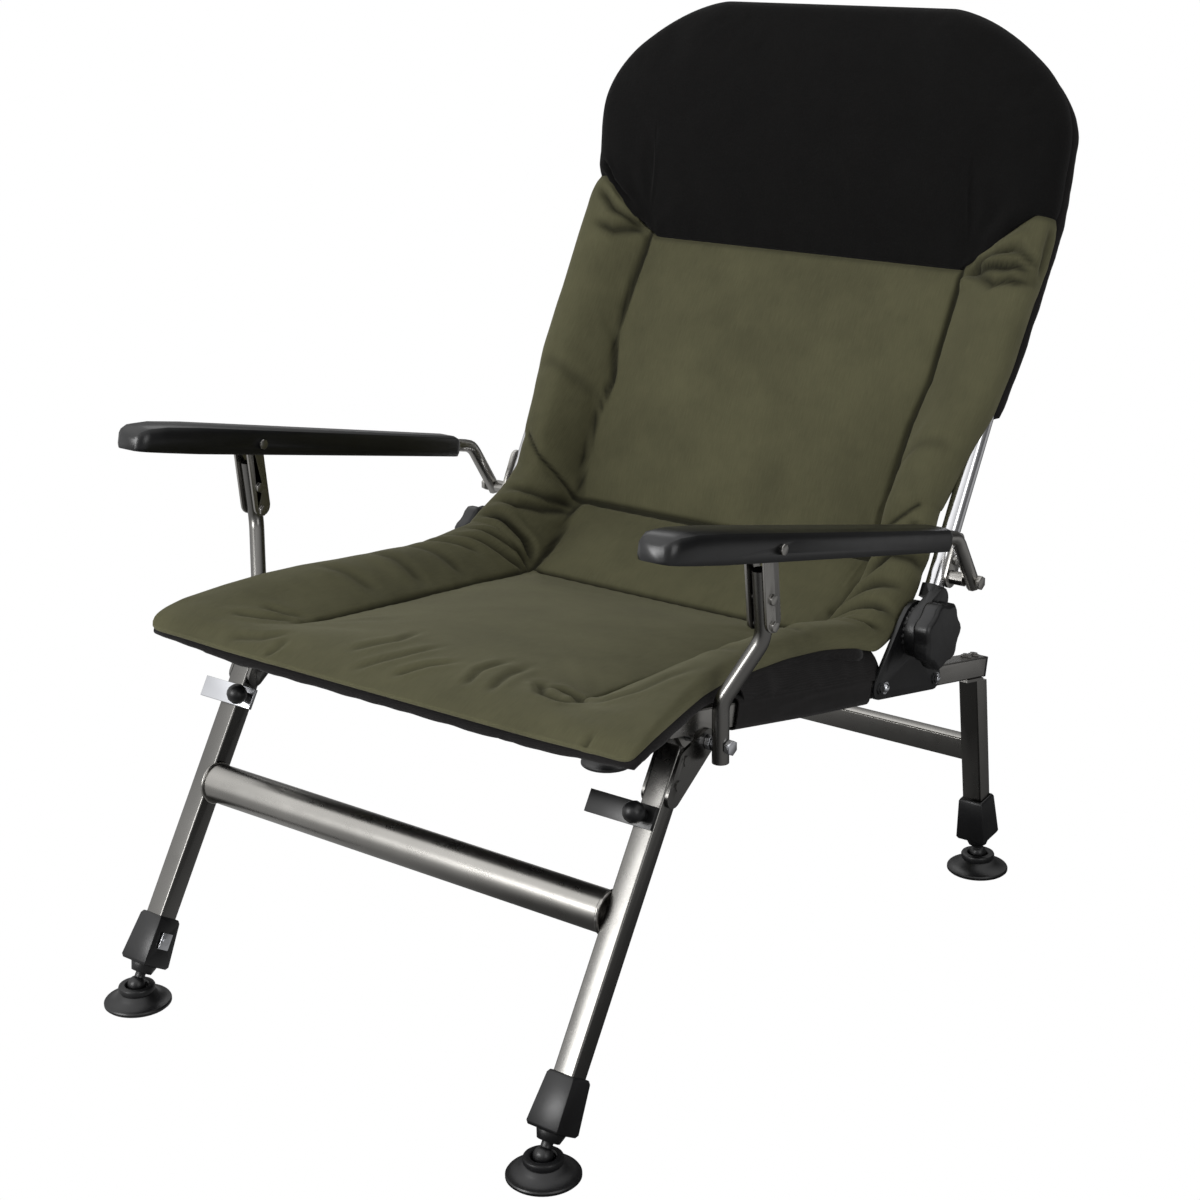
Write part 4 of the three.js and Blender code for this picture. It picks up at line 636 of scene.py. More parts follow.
class Shell:
    """The cover's grid with its rolled rim: one array of points with faces, each with its row."""

    def __init__(self, cover, turns=(SEAT_RIM_TURN, BACK_RIM_TURN)):
        rows, columns = cover.grid.shape[:2]
        self.rows, self.columns = rows, columns
        self.turns = turns
        normals = grid_normals(cover.grid)
        self.points = [Vector(p) for p in cover.grid.reshape(-1, 3)]
        self.normals = [Vector(n) for n in normals.reshape(-1, 3)]
        self.uv = [tuple(p) for p in cover.flat.reshape(-1, 2)]
        self.seam_gap = list(cover.seam_gap.reshape(-1))
        self.row_of = [j for j in range(rows) for _ in range(columns)]
        self.rim_of = [0.0] * len(self.points)
        self.faces, self.face_row = [], []
        for j in range(rows - 1):
            for i in range(columns - 1):
                at = j * columns + i
                self.faces.append((at, at + 1, at + columns + 1, at + columns))
                self.face_row.append(j)
        self.add_rim(cover)

    def add_rim(self, cover):
        loop = boundary_loop(self.rows, self.columns)
        ring = [j * self.columns + i for j, i in loop]
        count = len(ring)
        outward = []
        for k in range(count):
            before, after = self.points[ring[k - 1]], self.points[ring[(k + 1) % count]]
            tangent = (after - before).normalized()
            outward.append(tangent.cross(self.normals[ring[k]]).normalized())
        previous = ring
        for step in range(1, RIM_STEPS + 1):
            new_ring = []
            for k, (j, i) in enumerate(loop):
                base = ring[k]
                radius = cover.rows[j]["rim"] * MM
                on_back = smoothstep(j, cover.marks["lower"] - 10, cover.marks["upper"])
                turn = lerp(*self.turns, on_back) * step / RIM_STEPS
                n = self.normals[base]
                centre = self.points[base] - n * radius
                new_ring.append(len(self.points))
                self.points.append(centre + (n * cos(turn) + outward[k] * sin(turn)) * radius)
                self.normals.append(n * cos(turn) + outward[k] * sin(turn))
                u, v = self.uv[base]
                run = radius * turn
                side = 1 if i == self.columns - 1 else -1 if i == 0 else 0
                end = -1 if j == 0 else 1 if j == self.rows - 1 else 0
                self.uv.append((u + side * run, v + end * run))
                self.seam_gap.append(self.seam_gap[base])
                self.row_of.append(j)
                self.rim_of.append(step / RIM_STEPS)
            for k in range(count):
                m = (k + 1) % count
                self.faces.append((previous[k], new_ring[k], new_ring[m], previous[m]))
                self.face_row.append(min(loop[k][0], loop[m][0]))
            previous = new_ring
        self.last_ring = set(previous)


shell = Shell(cover)
SEAM_DEPTH = 5.5 * MM
SEAM_WIDTH = 10.0  # mm
SEAM_FADE = (40, 110)  # mm from the front edge, where the long seams come up
LOWER_AT, UPPER_AT, HEAD_AT = (cover.flat[cover.marks[mark], 0, 1] / MM for mark in ("lower", "upper", "head"))


def cross_gap(index):
    """Distance in mm from a point to the nearest seam across; two of them end at the long seams."""
    u, v = shell.uv[index][0] / MM, shell.uv[index][1] / MM
    row = cover.rows[shell.row_of[index]]
    beyond = max(0, abs(u) - row["seams"][0 if u < 0 else 1])
    return min(hypot(v - LOWER_AT, beyond), hypot(v - UPPER_AT, beyond), abs(v - HEAD_AT))


def seam_strength(index):
    """How strongly the long seams show: they fade out towards the front edge, and stop at the head."""
    v = shell.uv[index][1] / MM
    return 0.0 if v > HEAD_AT else smoothstep(v, *SEAM_FADE)


def base_points():
    """The cover before the cloth swells: valleys are pressed in along the seams."""
    points = []
    for index, point in enumerate(shell.points):
        long_seam = seam_strength(index) * exp(-((shell.seam_gap[index] / SEAM_WIDTH) ** 2))
        cross_seam = exp(-((cross_gap(index) / SEAM_WIDTH) ** 2)) * (1 - shell.rim_of[index])
        points.append(point - shell.normals[index] * SEAM_DEPTH * max(long_seam, cross_seam))
    return points


CLOTH_FRAMES = 24
CLOTH_CAP = 13 * MM  # how far a point may move
CLOTH_SETTINGS = {
    "quality": 6, "mass": 0.2, "tension_stiffness": 18, "compression_stiffness": 18, "shear_stiffness": 8,
    "bending_stiffness": 0.2, "air_damping": 3, "use_pressure": True, "uniform_pressure_force": 2.6,
    "vertex_group_mass": "pin", "vertex_group_shrink": "slack", "shrink_min": 0, "shrink_max": -0.11,
}


def pin_weight(index):
    on_long = seam_strength(index) > 0.3 and shell.seam_gap[index] < 1.0
    on_cross = cross_gap(index) < 1.0
    if on_long or on_cross or index in shell.last_ring:
        return 1.0
    return smoothstep(shell.rim_of[index], 0.05, 0.35)


def slack_weight(index):
    """Spare cloth: most along the front edge and in the bends beside the hinge."""
    x, v = abs(shell.uv[index][0]) / MM, shell.uv[index][1] / MM
    front = 1 - smoothstep(v, 30, 110)
    crook = bell(v - LOWER_AT, 90) * smoothstep(x, 150, 210)
    shoulder = bell(v - HEAD_AT, 60) * smoothstep(x, 200, 240)
    edge = 0.35 * smoothstep(x, 200, 240)
    return min(1.0, max(0.18, 0.9 * front, crook, 0.8 * shoulder, edge))


def swell(points):
    """Lets Blender's cloth puff the sewn cover with air, and returns where its points come to rest."""
    piece = new_piece("swelling", points, shell.faces)
    for name, weight in (("pin", pin_weight), ("slack", slack_weight)):
        group = piece.vertex_groups.new(name=name)
        for index in range(len(points)):
            group.add([index], weight(index), "REPLACE")
    cloth = piece.modifiers.new("Cloth", "CLOTH").settings
    for name, value in CLOTH_SETTINGS.items():
        setattr(cloth, name, value)
    cloth.effector_weights.gravity = 0
    scene = bpy.context.scene
    for step in range(1, CLOTH_FRAMES + 1):
        scene.frame_set(step)
    evaluated = piece.evaluated_get(bpy.context.evaluated_depsgraph_get())
    moved = [v.co.copy() for v in evaluated.data.vertices]
    scene.frame_set(1)
    bpy.data.objects.remove(piece)
    return [p + (q - p) * min(1.0, CLOTH_CAP / max(1e-9, (q - p).length)) for p, q in zip(points, moved)]


PUCKER_LIFT, PUCKER_WIDTH = 0.9, 13


def ripple(value, pitch, phase):
    return 0.5 + 0.5 * sin(2 * pi * value / pitch + phase)


def sewn_detail(points):
    """Puckers along the seams and gathers behind the front edge."""
    result = []
    for index, point in enumerate(points):
        u, v = (c / MM for c in shell.uv[index])
        along = seam_strength(index) * bell(shell.seam_gap[index], PUCKER_WIDTH) * ripple(v, 17, sin(v / 40))
        across = bell(cross_gap(index), PUCKER_WIDTH) * ripple(u, 19, sin(u / 50))
        result.append(point + shell.normals[index] * float(max(along, across)) * PUCKER_LIFT * MM)
    return result


def thickness(index):
    """The padding's depth: full in the middle, thin where the cloth wraps the rim."""
    x = abs(shell.uv[index][0]) / MM
    full = lerp(15.0, 7.0, smoothstep(x, 170, 235))
    return lerp(full, 1.2, smoothstep(shell.rim_of[index], 0.0, 1.0))


def point_values(piece, name, values=None):
    """Keeps one number for each point of a piece's mesh, or reads the kept numbers back."""
    kept = piece.data.attributes
    if values is not None:
        kept.new(name, "FLOAT", "POINT").data.foreach_set("value", np.asarray(values, dtype=np.float32))
    found = np.zeros(len(piece.data.vertices), dtype=np.float32)
    kept[name].data.foreach_get("value", found)
    return found


def closed_pad(name, shell, tops, bottoms, keep, material):
    """Takes the shell's faces that keep() picks, and closes them with the underside and the cut edges."""
    faces = [face for face, row in zip(shell.faces, shell.face_row) if keep(row)]
    used = sorted({index for face in faces for index in face})
    number = {index: n for n, index in enumerate(used)}
    under = len(used)
    points = [tops[index] for index in used] + [bottoms[index] for index in used]
    top_faces = [tuple(number[index] for index in face) for face in faces]
    bottom_faces = [tuple(index + under for index in reversed(face)) for face in top_faces]
    edges = {}
    for face in top_faces:
        for a, b in zip(face, face[1:] + face[:1]):
            edges[(a, b)] = edges.get((a, b), 0) + 1
    open_edges = [(a, b) for (a, b) in edges if (b, a) not in edges]
    walls = [(b, a, a + under, b + under) for a, b in open_edges]
    piece = new_piece(name, points, top_faces + bottom_faces + walls)
    piece.data.materials.append(material)
    layer = piece.data.uv_layers.new(name="cloth")
    flat = [shell.uv[index] for index in used]
    for loop in piece.data.loops:
        layer.data[loop.index].uv = flat[loop.vertex_index % under]
    for side in (0, 1):
        point_values(piece, ("cloth_u", "cloth_v")[side], [at[side] / MM for at in flat] * 2)
    point_values(piece, "seam_gap", [shell.seam_gap[index] for index in used] * 2)
    point_values(piece, "outside", [1.0] * under + [0.0] * under)
    return piece


def refine(piece):
    modifier = piece.modifiers.new("Subdivision", "SUBSURF")
    modifier.levels = modifier.render_levels = 1
    modifier.uv_smooth = "PRESERVE_BOUNDARIES"
    apply_modifiers(piece)
    only(piece)
    bpy.ops.object.shade_smooth()
    return piece


# Folds of the cloth, each as (depth at its start, depth at its end, width, points), in mm on the flat cloth.
FOLDS = (
    # the left crook, from the ends of the two seams across to the edge
    (7.1, 2.9, 6.0, ((-185, 541), (-200, 517), (-215, 505), (-243, 500))),
    (6.4, 5.1, 5.0, ((-184, 530), (-198, 500), (-214, 480), (-243, 474))),
    (7.9, 6.4, 6.0, ((-176, 440), (-190, 452), (-212, 452), (-246, 446))),
    (7.9, 3.6, 5.0, ((-172, 432), (-188, 430), (-206, 420), (-236, 404))),
    (5.1, 2.2, 5.0, ((-170, 424), (-186, 408), (-206, 392), (-230, 366))),
    (3.6, 1.4, 6.0, ((-196, 372), (-216, 352), (-240, 330))),
    # the right crook
    (7.8, 3.5, 6.0, ((184, 470), (204, 482), (232, 492), (262, 494))),
    (8.7, 5.3, 6.0, ((186, 440), (208, 452), (236, 462), (262, 462))),
    (8.7, 4.3, 5.0, ((186, 430), (210, 420), (238, 428), (262, 440))),
    (7.0, 4.3, 7.0, ((208, 506), (226, 528), (252, 528), (276, 520))),
    (5.3, 2.7, 6.0, ((240, 566), (256, 552), (276, 548))),
    # the right shoulder, under the head seam
    (6.7, 4.9, 5.0, ((200, 842), (225, 836), (246, 828), (268, 820))),
    (8.3, 7.5, 5.0, ((200, 840), (230, 822), (256, 806), (287, 797))),
    (4.9, 6.7, 4.5, ((206, 836), (244, 797), (268, 790), (295, 795))),
    (4.1, 4.9, 5.0, ((242, 830), (268, 814), (290, 804))),
    (3.3, 4.9, 5.0, ((290, 842), (290, 820), (294, 798))),
    # the left shoulder
    (4.8, 6.4, 5.0, ((-205, 849), (-238, 836), (-272, 835))),
    (5.6, 5.6, 5.0, ((-205, 846), (-232, 818), (-260, 806))),
    (4.0, 5.6, 4.5, ((-222, 858), (-248, 856), (-274, 872))),
    # gathers behind the front edge
    (2.6, 1.2, 4.0, ((-130, 2), (-125, 14), (-129, 32))),
    (1.9, 1.9, 5.0, ((-56, 40), (-36, 79), (-38, 112))),
    (1.9, 1.9, 4.5, ((-30, 16), (-8, 50), (10, 92))),
    (2.9, 1.9, 4.5, ((12, 22), (28, 48), (48, 68))),
    (2.9, 2.2, 4.5, ((82, 36), (74, 63), (77, 100))),
    (3.1, 1.9, 5.0, ((109, 36), (100, 72), (97, 106))),
    (4.1, 3.6, 5.0, ((132, 74), (150, 54), (172, 52), (190, 62))),
    (4.1, 3.6, 4.5, ((186, 62), (172, 76), (152, 78), (138, 72))),
    (2.4, 1.4, 6.0, ((200, 66), (225, 90), (240, 158))),
    (3.1, 2.6, 3.0, ((238, -2), (236, 14))),
    (2.4, 1.7, 5.0, ((-180, 12), (-152, 20), (-130, 40))),
    (2.9, 2.2, 5.0, ((-212, 44), (-190, 56), (-164, 84))),
    (2.9, 1.9, 5.0, ((-200, 74), (-182, 82), (-168, 98))),
    # slack across the side bolsters
    (2.5, 1.6, 9.0, ((-178, 196), (-206, 188), (-236, 176))),
    (2.9, 1.6, 9.0, ((-176, 262), (-206, 262), (-238, 252))),
    (3.1, 1.8, 9.0, ((-176, 326), (-204, 318), (-238, 304))),
    (2.5, 1.6, 9.0, ((186, 232), (214, 226), (240, 214))),
    (3.1, 1.8, 9.0, ((188, 330), (216, 332), (242, 322))),
    (1.8, 2.2, 9.0, ((-198, 660), (-232, 668), (-268, 664))),
    (1.8, 2.2, 9.0, ((190, 640), (228, 650), (268, 646))),
)
DIAGONAL_SEAM = ((188, 0), (203, 9), (221, 17), (246, 40))  # from the long seam's foot to the edge
SEAM_GROOVE, SEAM_GROOVE_WIDTH = 3.4, 2.9
HEAD_SEAM_SHARE = 0.4  # of a groove's depth, at the head
DIAGONAL_VALLEY, DIAGONAL_VALLEY_WIDTH = 4.0, 9.0
CLOTH_VALUES = ("cloth_u", "cloth_v", "seam_gap", "outside")


def without_values(piece):
    for name in CLOTH_VALUES:
        piece.data.attributes.remove(piece.data.attributes[name])
    return piece


def along_line(u, v, points):
    """Distance of each place (u, v) from a line of points, and how far along the line it is, from 0 to 1."""
    corners = [np.array(point, float) for point in points]
    lengths = [np.linalg.norm(b - a) for a, b in zip(corners, corners[1:])]
    gap = np.full(len(u), 1e6)
    share = np.zeros(len(u))
    walked = 0.0
    for a, b, length in zip(corners, corners[1:], lengths):
        run = np.clip(((u - a[0]) * (b[0] - a[0]) + (v - a[1]) * (b[1] - a[1])) / length ** 2, 0, 1)
        here = np.hypot(u - lerp(a[0], b[0], run), v - lerp(a[1], b[1], run))
        closer = here < gap
        gap = np.where(closer, here, gap)
        share = np.where(closer, (walked + run * length) / sum(lengths), share)
        walked += length
    return gap, share


def press_folds(piece):
    """Presses the seams and the folds into the cloth, and keeps the painted shade that darkens them."""
    u, v, seam_gap, outside = (point_values(piece, name) for name in CLOTH_VALUES)
    left, right = (np.array([row["seams"][side] for row in cover.rows]) for side in (0, 1))
    walked = cover.flat[:, 0, 1] / MM
    seam_x = np.where(u < 0, np.interp(v, walked, left), np.interp(v, walked, right))
    shown = smooth_steps(v, 60, 120) * (v < HEAD_AT + 2)
    beyond = np.maximum(0, np.abs(u) - seam_x)
    seams = [(np.where(shown > 0, seam_gap, 99), shown), (np.hypot(v - LOWER_AT, beyond), 1.0),
             (np.hypot(v - UPPER_AT, beyond), 1.0), (np.abs(v - HEAD_AT), HEAD_SEAM_SHARE)]
    depth = np.zeros(len(u))
    dark = np.zeros(len(u))
    for side in (-1, 1):
        gap, _ = along_line(u, v, [(side * x, UPPER_AT + rise) for x, rise in DIAGONAL_SEAM])
        seams.append((gap, 1.0))
        depth += DIAGONAL_VALLEY * bell(gap, DIAGONAL_VALLEY_WIDTH)
    # The seams' grooves get painted shade as well as depth.
    for gap, weight in seams:
        depth = np.maximum(depth, depth * 0.6 + weight * SEAM_GROOVE * bell(gap, SEAM_GROOVE_WIDTH))
        dark = np.maximum(dark, weight * bell(gap, SEAM_GROOVE_WIDTH * 0.85))
    for start, end, width, points in FOLDS:
        gap, share = along_line(u, v, points)
        fade = lerp(start, end, share) * (1 - 0.85 * smooth_steps(share, 0.7, 1.0))
        fade *= smooth_steps(share, -0.08, 0.12)
        depth += fade * (bell(gap, width * 0.75) - 0.42 * bell(gap - 1.9 * width, width))
        # Painted shade in the hollows of the folds.
        dark = np.maximum(dark, 0.16 * fade * bell(gap, width * 0.7))
    normals = np.zeros(len(u) * 3, dtype=np.float32)
    piece.data.vertex_normals.foreach_get("vector", normals)
    places = np.zeros(len(u) * 3, dtype=np.float32)
    piece.data.vertices.foreach_get("co", places)
    moved = places.reshape(-1, 3) - normals.reshape(-1, 3) * (depth * outside * MM)[:, None]
    piece.data.vertices.foreach_set("co", moved.reshape(-1))
    piece.data.update()
    # The painted shade is kept for the cloth's material, which darkens its base colour with it.
    point_values(piece, "crease", np.clip(dark * outside, 0, 1))
    return without_values(piece)


rest_points = base_points()
full_points = sewn_detail(swell(rest_points))
under_points = [p - n * thickness(index) * MM for index, (p, n) in enumerate(zip(rest_points, shell.normals))]


def padded_cover(name, keep, slot, replaced):
    piece = closed_pad(name, shell, full_points, under_points, keep, NODE_FINISH[slot])
    press_folds(refine(piece))
    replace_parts(piece, *replaced)
    return piece


olive_cover = padded_cover("seat_and_back_cover", lambda row: row <= cover.marks["head"], "olive_fabric",
                           ("seat_pad", "lumbar_pad", "back_pad"))
# It follows the frame below the seat's rear seam and the back above the lumbar seam.
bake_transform(olive_cover, "frame", "back", start=tuple(cover.rows[cover.marks["lower"]]["point"]),
         end=tuple(cover.rows[cover.marks["upper"]]["point"]))
head_cover = padded_cover("head_cover", lambda row: row >= cover.marks["head"], "black_fleece",
                          ("head_pad",))
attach(head_cover, "back")

# The black lining, in mm
LINING_RADIUS = 6.0  # of the roll along its edge
LINING_SPREAD = 1.5  # beyond the cover's edge
LINING_TURNS = (radians(176), radians(176))
LINING_DEPTH = 3.0
BACK_LINING_FROM = 205.0  # up the back line
SEAT_LINING_SHORT = 6  # rows that the seat's lining ends before the lower seam


class LiningGrid:
    """The rows of the cover between two marks, moved back behind it and spread a little wider."""

    def __init__(self, first, last, drop, centre_drop, front, top):
        picked = range(first, last + 1)
        self.rows = [dict(cover.rows[j], rim=LINING_RADIUS) for j in picked]
        self.marks = {"lower": 0, "upper": 1}
        normals = grid_normals(cover.grid)[first:last + 1]
        self.grid = cover.grid[first:last + 1].copy()
        self.flat = cover.flat[first:last + 1].copy()
        self.seam_gap = np.full(self.grid.shape[:2], 99.0)
        for k, j in enumerate(picked):
            row = cover.rows[j]
            inner = row["half"] - row["rim"]
            wider = (row["half"] + LINING_SPREAD - LINING_RADIUS) / inner
            for i in range(self.grid.shape[1]):
                x = self.grid[k, i, 0]
                edge = smoothstep(abs(x) / MM, 0.6 * inner, inner)
                back = lerp(centre_drop, drop(row["rim"]), edge)
                self.grid[k, i] -= normals[k, i] * back * MM
                self.grid[k, i, 0] = x * wider
        if front:
            self.push(0, 1)
        if top:
            self.push(-1, -2)

    def push(self, end, inside):
        """Moves the end row out, so that the roll reaches as far as the cover's own edge."""
        row = cover.rows[end]
        reach = (row["rim"] + LINING_SPREAD - LINING_RADIUS) * MM
        out = self.grid[end] - self.grid[inside]
        out /= np.linalg.norm(out, axis=1, keepdims=True)
        self.grid[end] += out * reach


def crumple(piece, amount, size, seed=0):
    """Uneven cloth: moves each point along its normal by smooth noise."""
    normals = [normal.vector.copy() for normal in piece.data.vertex_normals]
    shift = Vector((seed, seed, seed))
    for vertex, normal in zip(piece.data.vertices, normals):
        vertex.co += normal * noise.noise(vertex.co / size + shift) * amount
    return piece


def make_lining(name, grid, body):
    roll = Shell(grid, LINING_TURNS)
    bottoms = [p - n * LINING_DEPTH * MM * (1 - k) for p, n, k in zip(roll.points, roll.normals, roll.rim_of)]
    piece = closed_pad(name, roll, roll.points, bottoms, lambda row: True, NODE_FINISH["black_fabric"])
    crumple(without_values(piece), 1.6 * MM, 26 * MM)
    only(piece)
    bpy.ops.object.shade_smooth()
    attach(piece, body)
    return piece


seat_grid = LiningGrid(0, cover.marks["lower"] - SEAT_LINING_SHORT, lambda rim: 1.42 * rim - 1.0, 15.0,
                       True, False)
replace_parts(make_lining("seat_lining", seat_grid, "frame"), "seat_front_hem")
first_row = next(j for j, row in enumerate(cover.rows) if row["along"] and row["along"] >= BACK_LINING_FROM)
back_grid = LiningGrid(first_row, len(cover.rows) - 1, lambda rim: 1.36 * rim, 22.0, False, True)
make_lining("back_lining", back_grid, "back")

# The rails, and the cloth round them, in mm
RAIL_X, RAIL_PITCH = 249.3, radians(11.3)
RAIL_REAR = (312.5721, 238.0)  # the rail's centre line at its rear end: depth from the chair's middle, height
RAIL_LENGTH = 556.0
SLEEVE_ENDS = (237.0, 461.0)  # along the rail
SLEEVE_SIZE = (28.5, 31.0)  # wide, high
SLEEVE_RINGS, SLEEVE_SIDES = 44, 36
SLEEVE_HEM_FROM, SLEEVE_HEM_TO, SLEEVE_HEM_BEAD = 12, 8, 3  # from the sleeve's end
CLOTH_WALL = 1.2
TAB_ENDS = (205.0, 452.0)  # along the rail, of the cloth that ties the seat to the sleeve
TAB_COLUMNS = 9
TAB_INSET, TAB_SLACK = 9, 4  # its upper edge lies this far inside the seat's, and its middle bulges
TAB_FOOT = (12, 8)  # its lower edge, out from the rail's centre line and up


def rail_point(x, along, above=0.0):
    return Vector((x, RAIL_REAR[0] - along * cos(RAIL_PITCH) + above * sin(RAIL_PITCH),
                   RAIL_REAR[1] + along * sin(RAIL_PITCH) + above * cos(RAIL_PITCH))) * MM


def squarish(turn, wide, high, power=0.42):
    """A point of a rounded square outline."""
    across, up = ((1 if part > 0 else -1) * abs(part) ** power for part in (cos(turn), sin(turn)))
    return across * wide / 2, up * high / 2


def rail_sleeve(side_name, side):
    """The cloth sleeve round a rail: a tube pushed to a rounded square outline, hemmed at both ends."""
    start, end = SLEEVE_ENDS
    half = (end - start) / 2
    middle = rail_point(side * RAIL_X, (start + end) / 2)
    piece = primitive(bpy.ops.mesh.primitive_cylinder_add, vertices=SLEEVE_SIDES, radius=1,
                      depth=(end - start) * MM, end_fill_type="NOTHING", location=middle,
                      rotation=(pi / 2 - RAIL_PITCH, 0, 0))
    along = rail_point(0, 1) - rail_point(0, 0)
    with editing(piece):
        for ring in range(1, SLEEVE_RINGS):
            bpy.ops.mesh.select_all(action="SELECT")
            place = rail_point(0, start + ring * (end - start) / SLEEVE_RINGS)
            bpy.ops.mesh.bisect(plane_co=place, plane_no=along)
    above = (rail_point(0, 0, 1) - rail_point(0, 0, 0)).normalized()
    direction = along.normalized()
    for vertex in piece.data.vertices:
        away = vertex.co - middle
        run = away.dot(direction)
        gathered = smoothstep(abs(run) / MM, half - SLEEVE_HEM_FROM, half - SLEEVE_HEM_TO)
        bead = exp(-(((abs(run) / MM - half + SLEEVE_HEM_BEAD) / SLEEVE_HEM_BEAD) ** 2))
        wide, high = squarish(atan2(away.dot(above), away.x), *SLEEVE_SIZE)
        outline = (Vector((wide, 0, 0)) + above * high) * (1 - 0.045 * gathered + 0.05 * bead) * MM
        vertex.co = middle + direction * run + outline
    with editing(piece):
        bpy.ops.mesh.normals_make_consistent(inside=False)
    crumple(piece, 1.5 * MM, 24 * MM, seed=side * 3.1)
    give_wall(piece, CLOTH_WALL, -1)
    finish_piece(piece, f"sleeve_{side_name}", "frame", "black_fabric", (f"rail_sleeve_{side_name}",), 60)


def sleeve_tab(side_name, side):
    """The strip of lining between the seat's edge and the rail's sleeve, slack in its middle."""
    points = []
    for row, at in zip(cover.rows[:cover.marks["lower"] + 1], cover.grid[:, 0 if side < 0 else -1]):
        along = (RAIL_REAR[0] - at[1] / MM) / cos(RAIL_PITCH)
        if TAB_ENDS[0] < along < TAB_ENDS[1]:
            high = Vector((side * (row["half"] - TAB_INSET) * MM, at[1], at[2] - (row["rim"] * 0.7 + 2) * MM))
            low = rail_point(side * (RAIL_X + TAB_FOOT[0]), along, TAB_FOOT[1])
            for column in range(TAB_COLUMNS):
                share = column / (TAB_COLUMNS - 1)
                points.append(high.lerp(low, share) + Vector((side * TAB_SLACK * sin(pi * share) * MM, 0, 0)))
    corners = (0, 1, TAB_COLUMNS + 1, TAB_COLUMNS)
    uppers = range(0, len(points), TAB_COLUMNS)
    faces = [tuple(first + column + corner for corner in corners)
             for first in uppers[:-1] for column in range(TAB_COLUMNS - 1)]
    piece = new_piece("sleeve_tab", points, faces)
    crumple(piece, 2.4 * MM, 22 * MM, seed=side * 5.3)
    give_wall(piece, CLOTH_WALL, 0)
    finish_piece(piece, f"sleeve_tab_{side_name}", "frame", "black_fabric", smooth=60)


for make in (rail_sleeve, sleeve_tab):
    for side_name, side in SIDES.items():
        make(side_name, side)


def rounded_way(corners, bends, step=radians(6)):
    """The points of a bent tube's centre line: straights joined by arcs of the given radii, in metres."""
    points = [Vector(corners[0])]
    for before, corner, after, radius in zip(corners, corners[1:], corners[2:], bends):
        before, corner, after = Vector(before), Vector(corner), Vector(after)
        a, b = (before - corner).normalized(), (after - corner).normalized()
        turn = pi - a.angle(b)
        reach = radius * MM * sin(turn / 2) / cos(turn / 2)
        centre = corner + (a + b).normalized() * radius * MM / cos(turn / 2)
        first, last = corner + a * reach - centre, corner + b * reach - centre
        count = max(2, ceil(turn / step))
        axis = first.cross(last).normalized()
        for k in range(count + 1):
            points.append(centre + Matrix.Rotation(turn * k / count, 3, axis) @ first)
    points.append(Vector(corners[-1]))
    return points


def bent_tube(points, radius, sides):
    """Sweeps a round section along the points, as a bevelled curve turned into a mesh."""
    curve = bpy.data.curves.new("way", "CURVE")
    curve.dimensions = "3D"
    curve.bevel_depth = radius * MM
    curve.bevel_resolution = sides
    curve.use_fill_caps = True
    spline = curve.splines.new("POLY")
    spline.points.add(len(points) - 1)
    for point, place in zip(spline.points, points):
        point.co = (*place, 1)
    only(in_scene("way", curve))
    bpy.ops.object.convert(target="MESH")
    return bpy.context.object


def mirrored_way(half):
    return [*half, *[Vector((-p[0], p[1], p[2])) for p in reversed(half)]]


# The seat's front tube, which sweeps forwards from the rails' ends, and the hem round its cross part
FRONT_TUBE_RADIUS, FRONT_TUBE_INSIDE, HEM_RADIUS = 9.0, 40.0, 10.8
FRONT_CORNER = (263.3, -57.0, -11.0)  # place across, and depth and height from the rail's front end
FRONT_BENDS = (26, 20, 20, 26)
HEM_START_SHARE = 0.30  # how far down the tube's side the hem starts
HEM_STEP = 7.0
rail_front = rail_point(0, RAIL_LENGTH)
tube_bend = rail_point(RAIL_X, RAIL_LENGTH + FRONT_BENDS[0])
tube_corner = Vector((0, rail_front.y, rail_front.z)) + Vector(FRONT_CORNER) * MM
tube_start = rail_point(RAIL_X, RAIL_LENGTH - FRONT_TUBE_INSIDE)
front_way = rounded_way(mirrored_way([tube_start, tube_bend, tube_corner]), FRONT_BENDS)
finish_piece(bent_tube(front_way, FRONT_TUBE_RADIUS, 6), "front_tube", "frame", "graphite_steel",
             ("seat_front_tube",))
hem_start = tube_bend.lerp(tube_corner, HEM_START_SHARE)
hem_corners = rounded_way(mirrored_way([hem_start, tube_corner]), FRONT_BENDS[1:3])
hem_way = []
for a, b in zip(hem_corners, hem_corners[1:]):
    count = max(1, ceil((b - a).length / (HEM_STEP * MM)))
    hem_way += [a.lerp(b, k / count) for k in range(count)]
front_hem = crumple(bent_tube(hem_way, HEM_RADIUS, 7), 1.3 * MM, 22 * MM, seed=5.0)
finish_piece(front_hem, "front_hem", "frame", "black_fabric", ("seat_front_hem",), 70)

# The back tube and the armrests' struts
BACK_BENDS = (190, 150, 150, 190)
back_foot = HINGE - square_to(BACK_ANGLE) * BACK_OFFSET
back_bend = back_foot + uphill(BACK_ANGLE) * HEAD_BEND_AT
back_top = back_bend + uphill(HEAD_ANGLE) * (TUBE_TOP_AT - HEAD_BEND_AT)
back_start = back_foot + uphill(BACK_ANGLE) * TUBE_START_AT
back_corners = [Vector((TUBE_X, *place.yz)) for place in (back_start, back_bend, back_top)]
back_way = rounded_way(mirrored_way(back_corners), BACK_BENDS, radians(3))
finish_piece(bent_tube(back_way, TUBE_RADIUS / MM, 7), "back_tube", "back", "bright_tube", ("back_frame",))

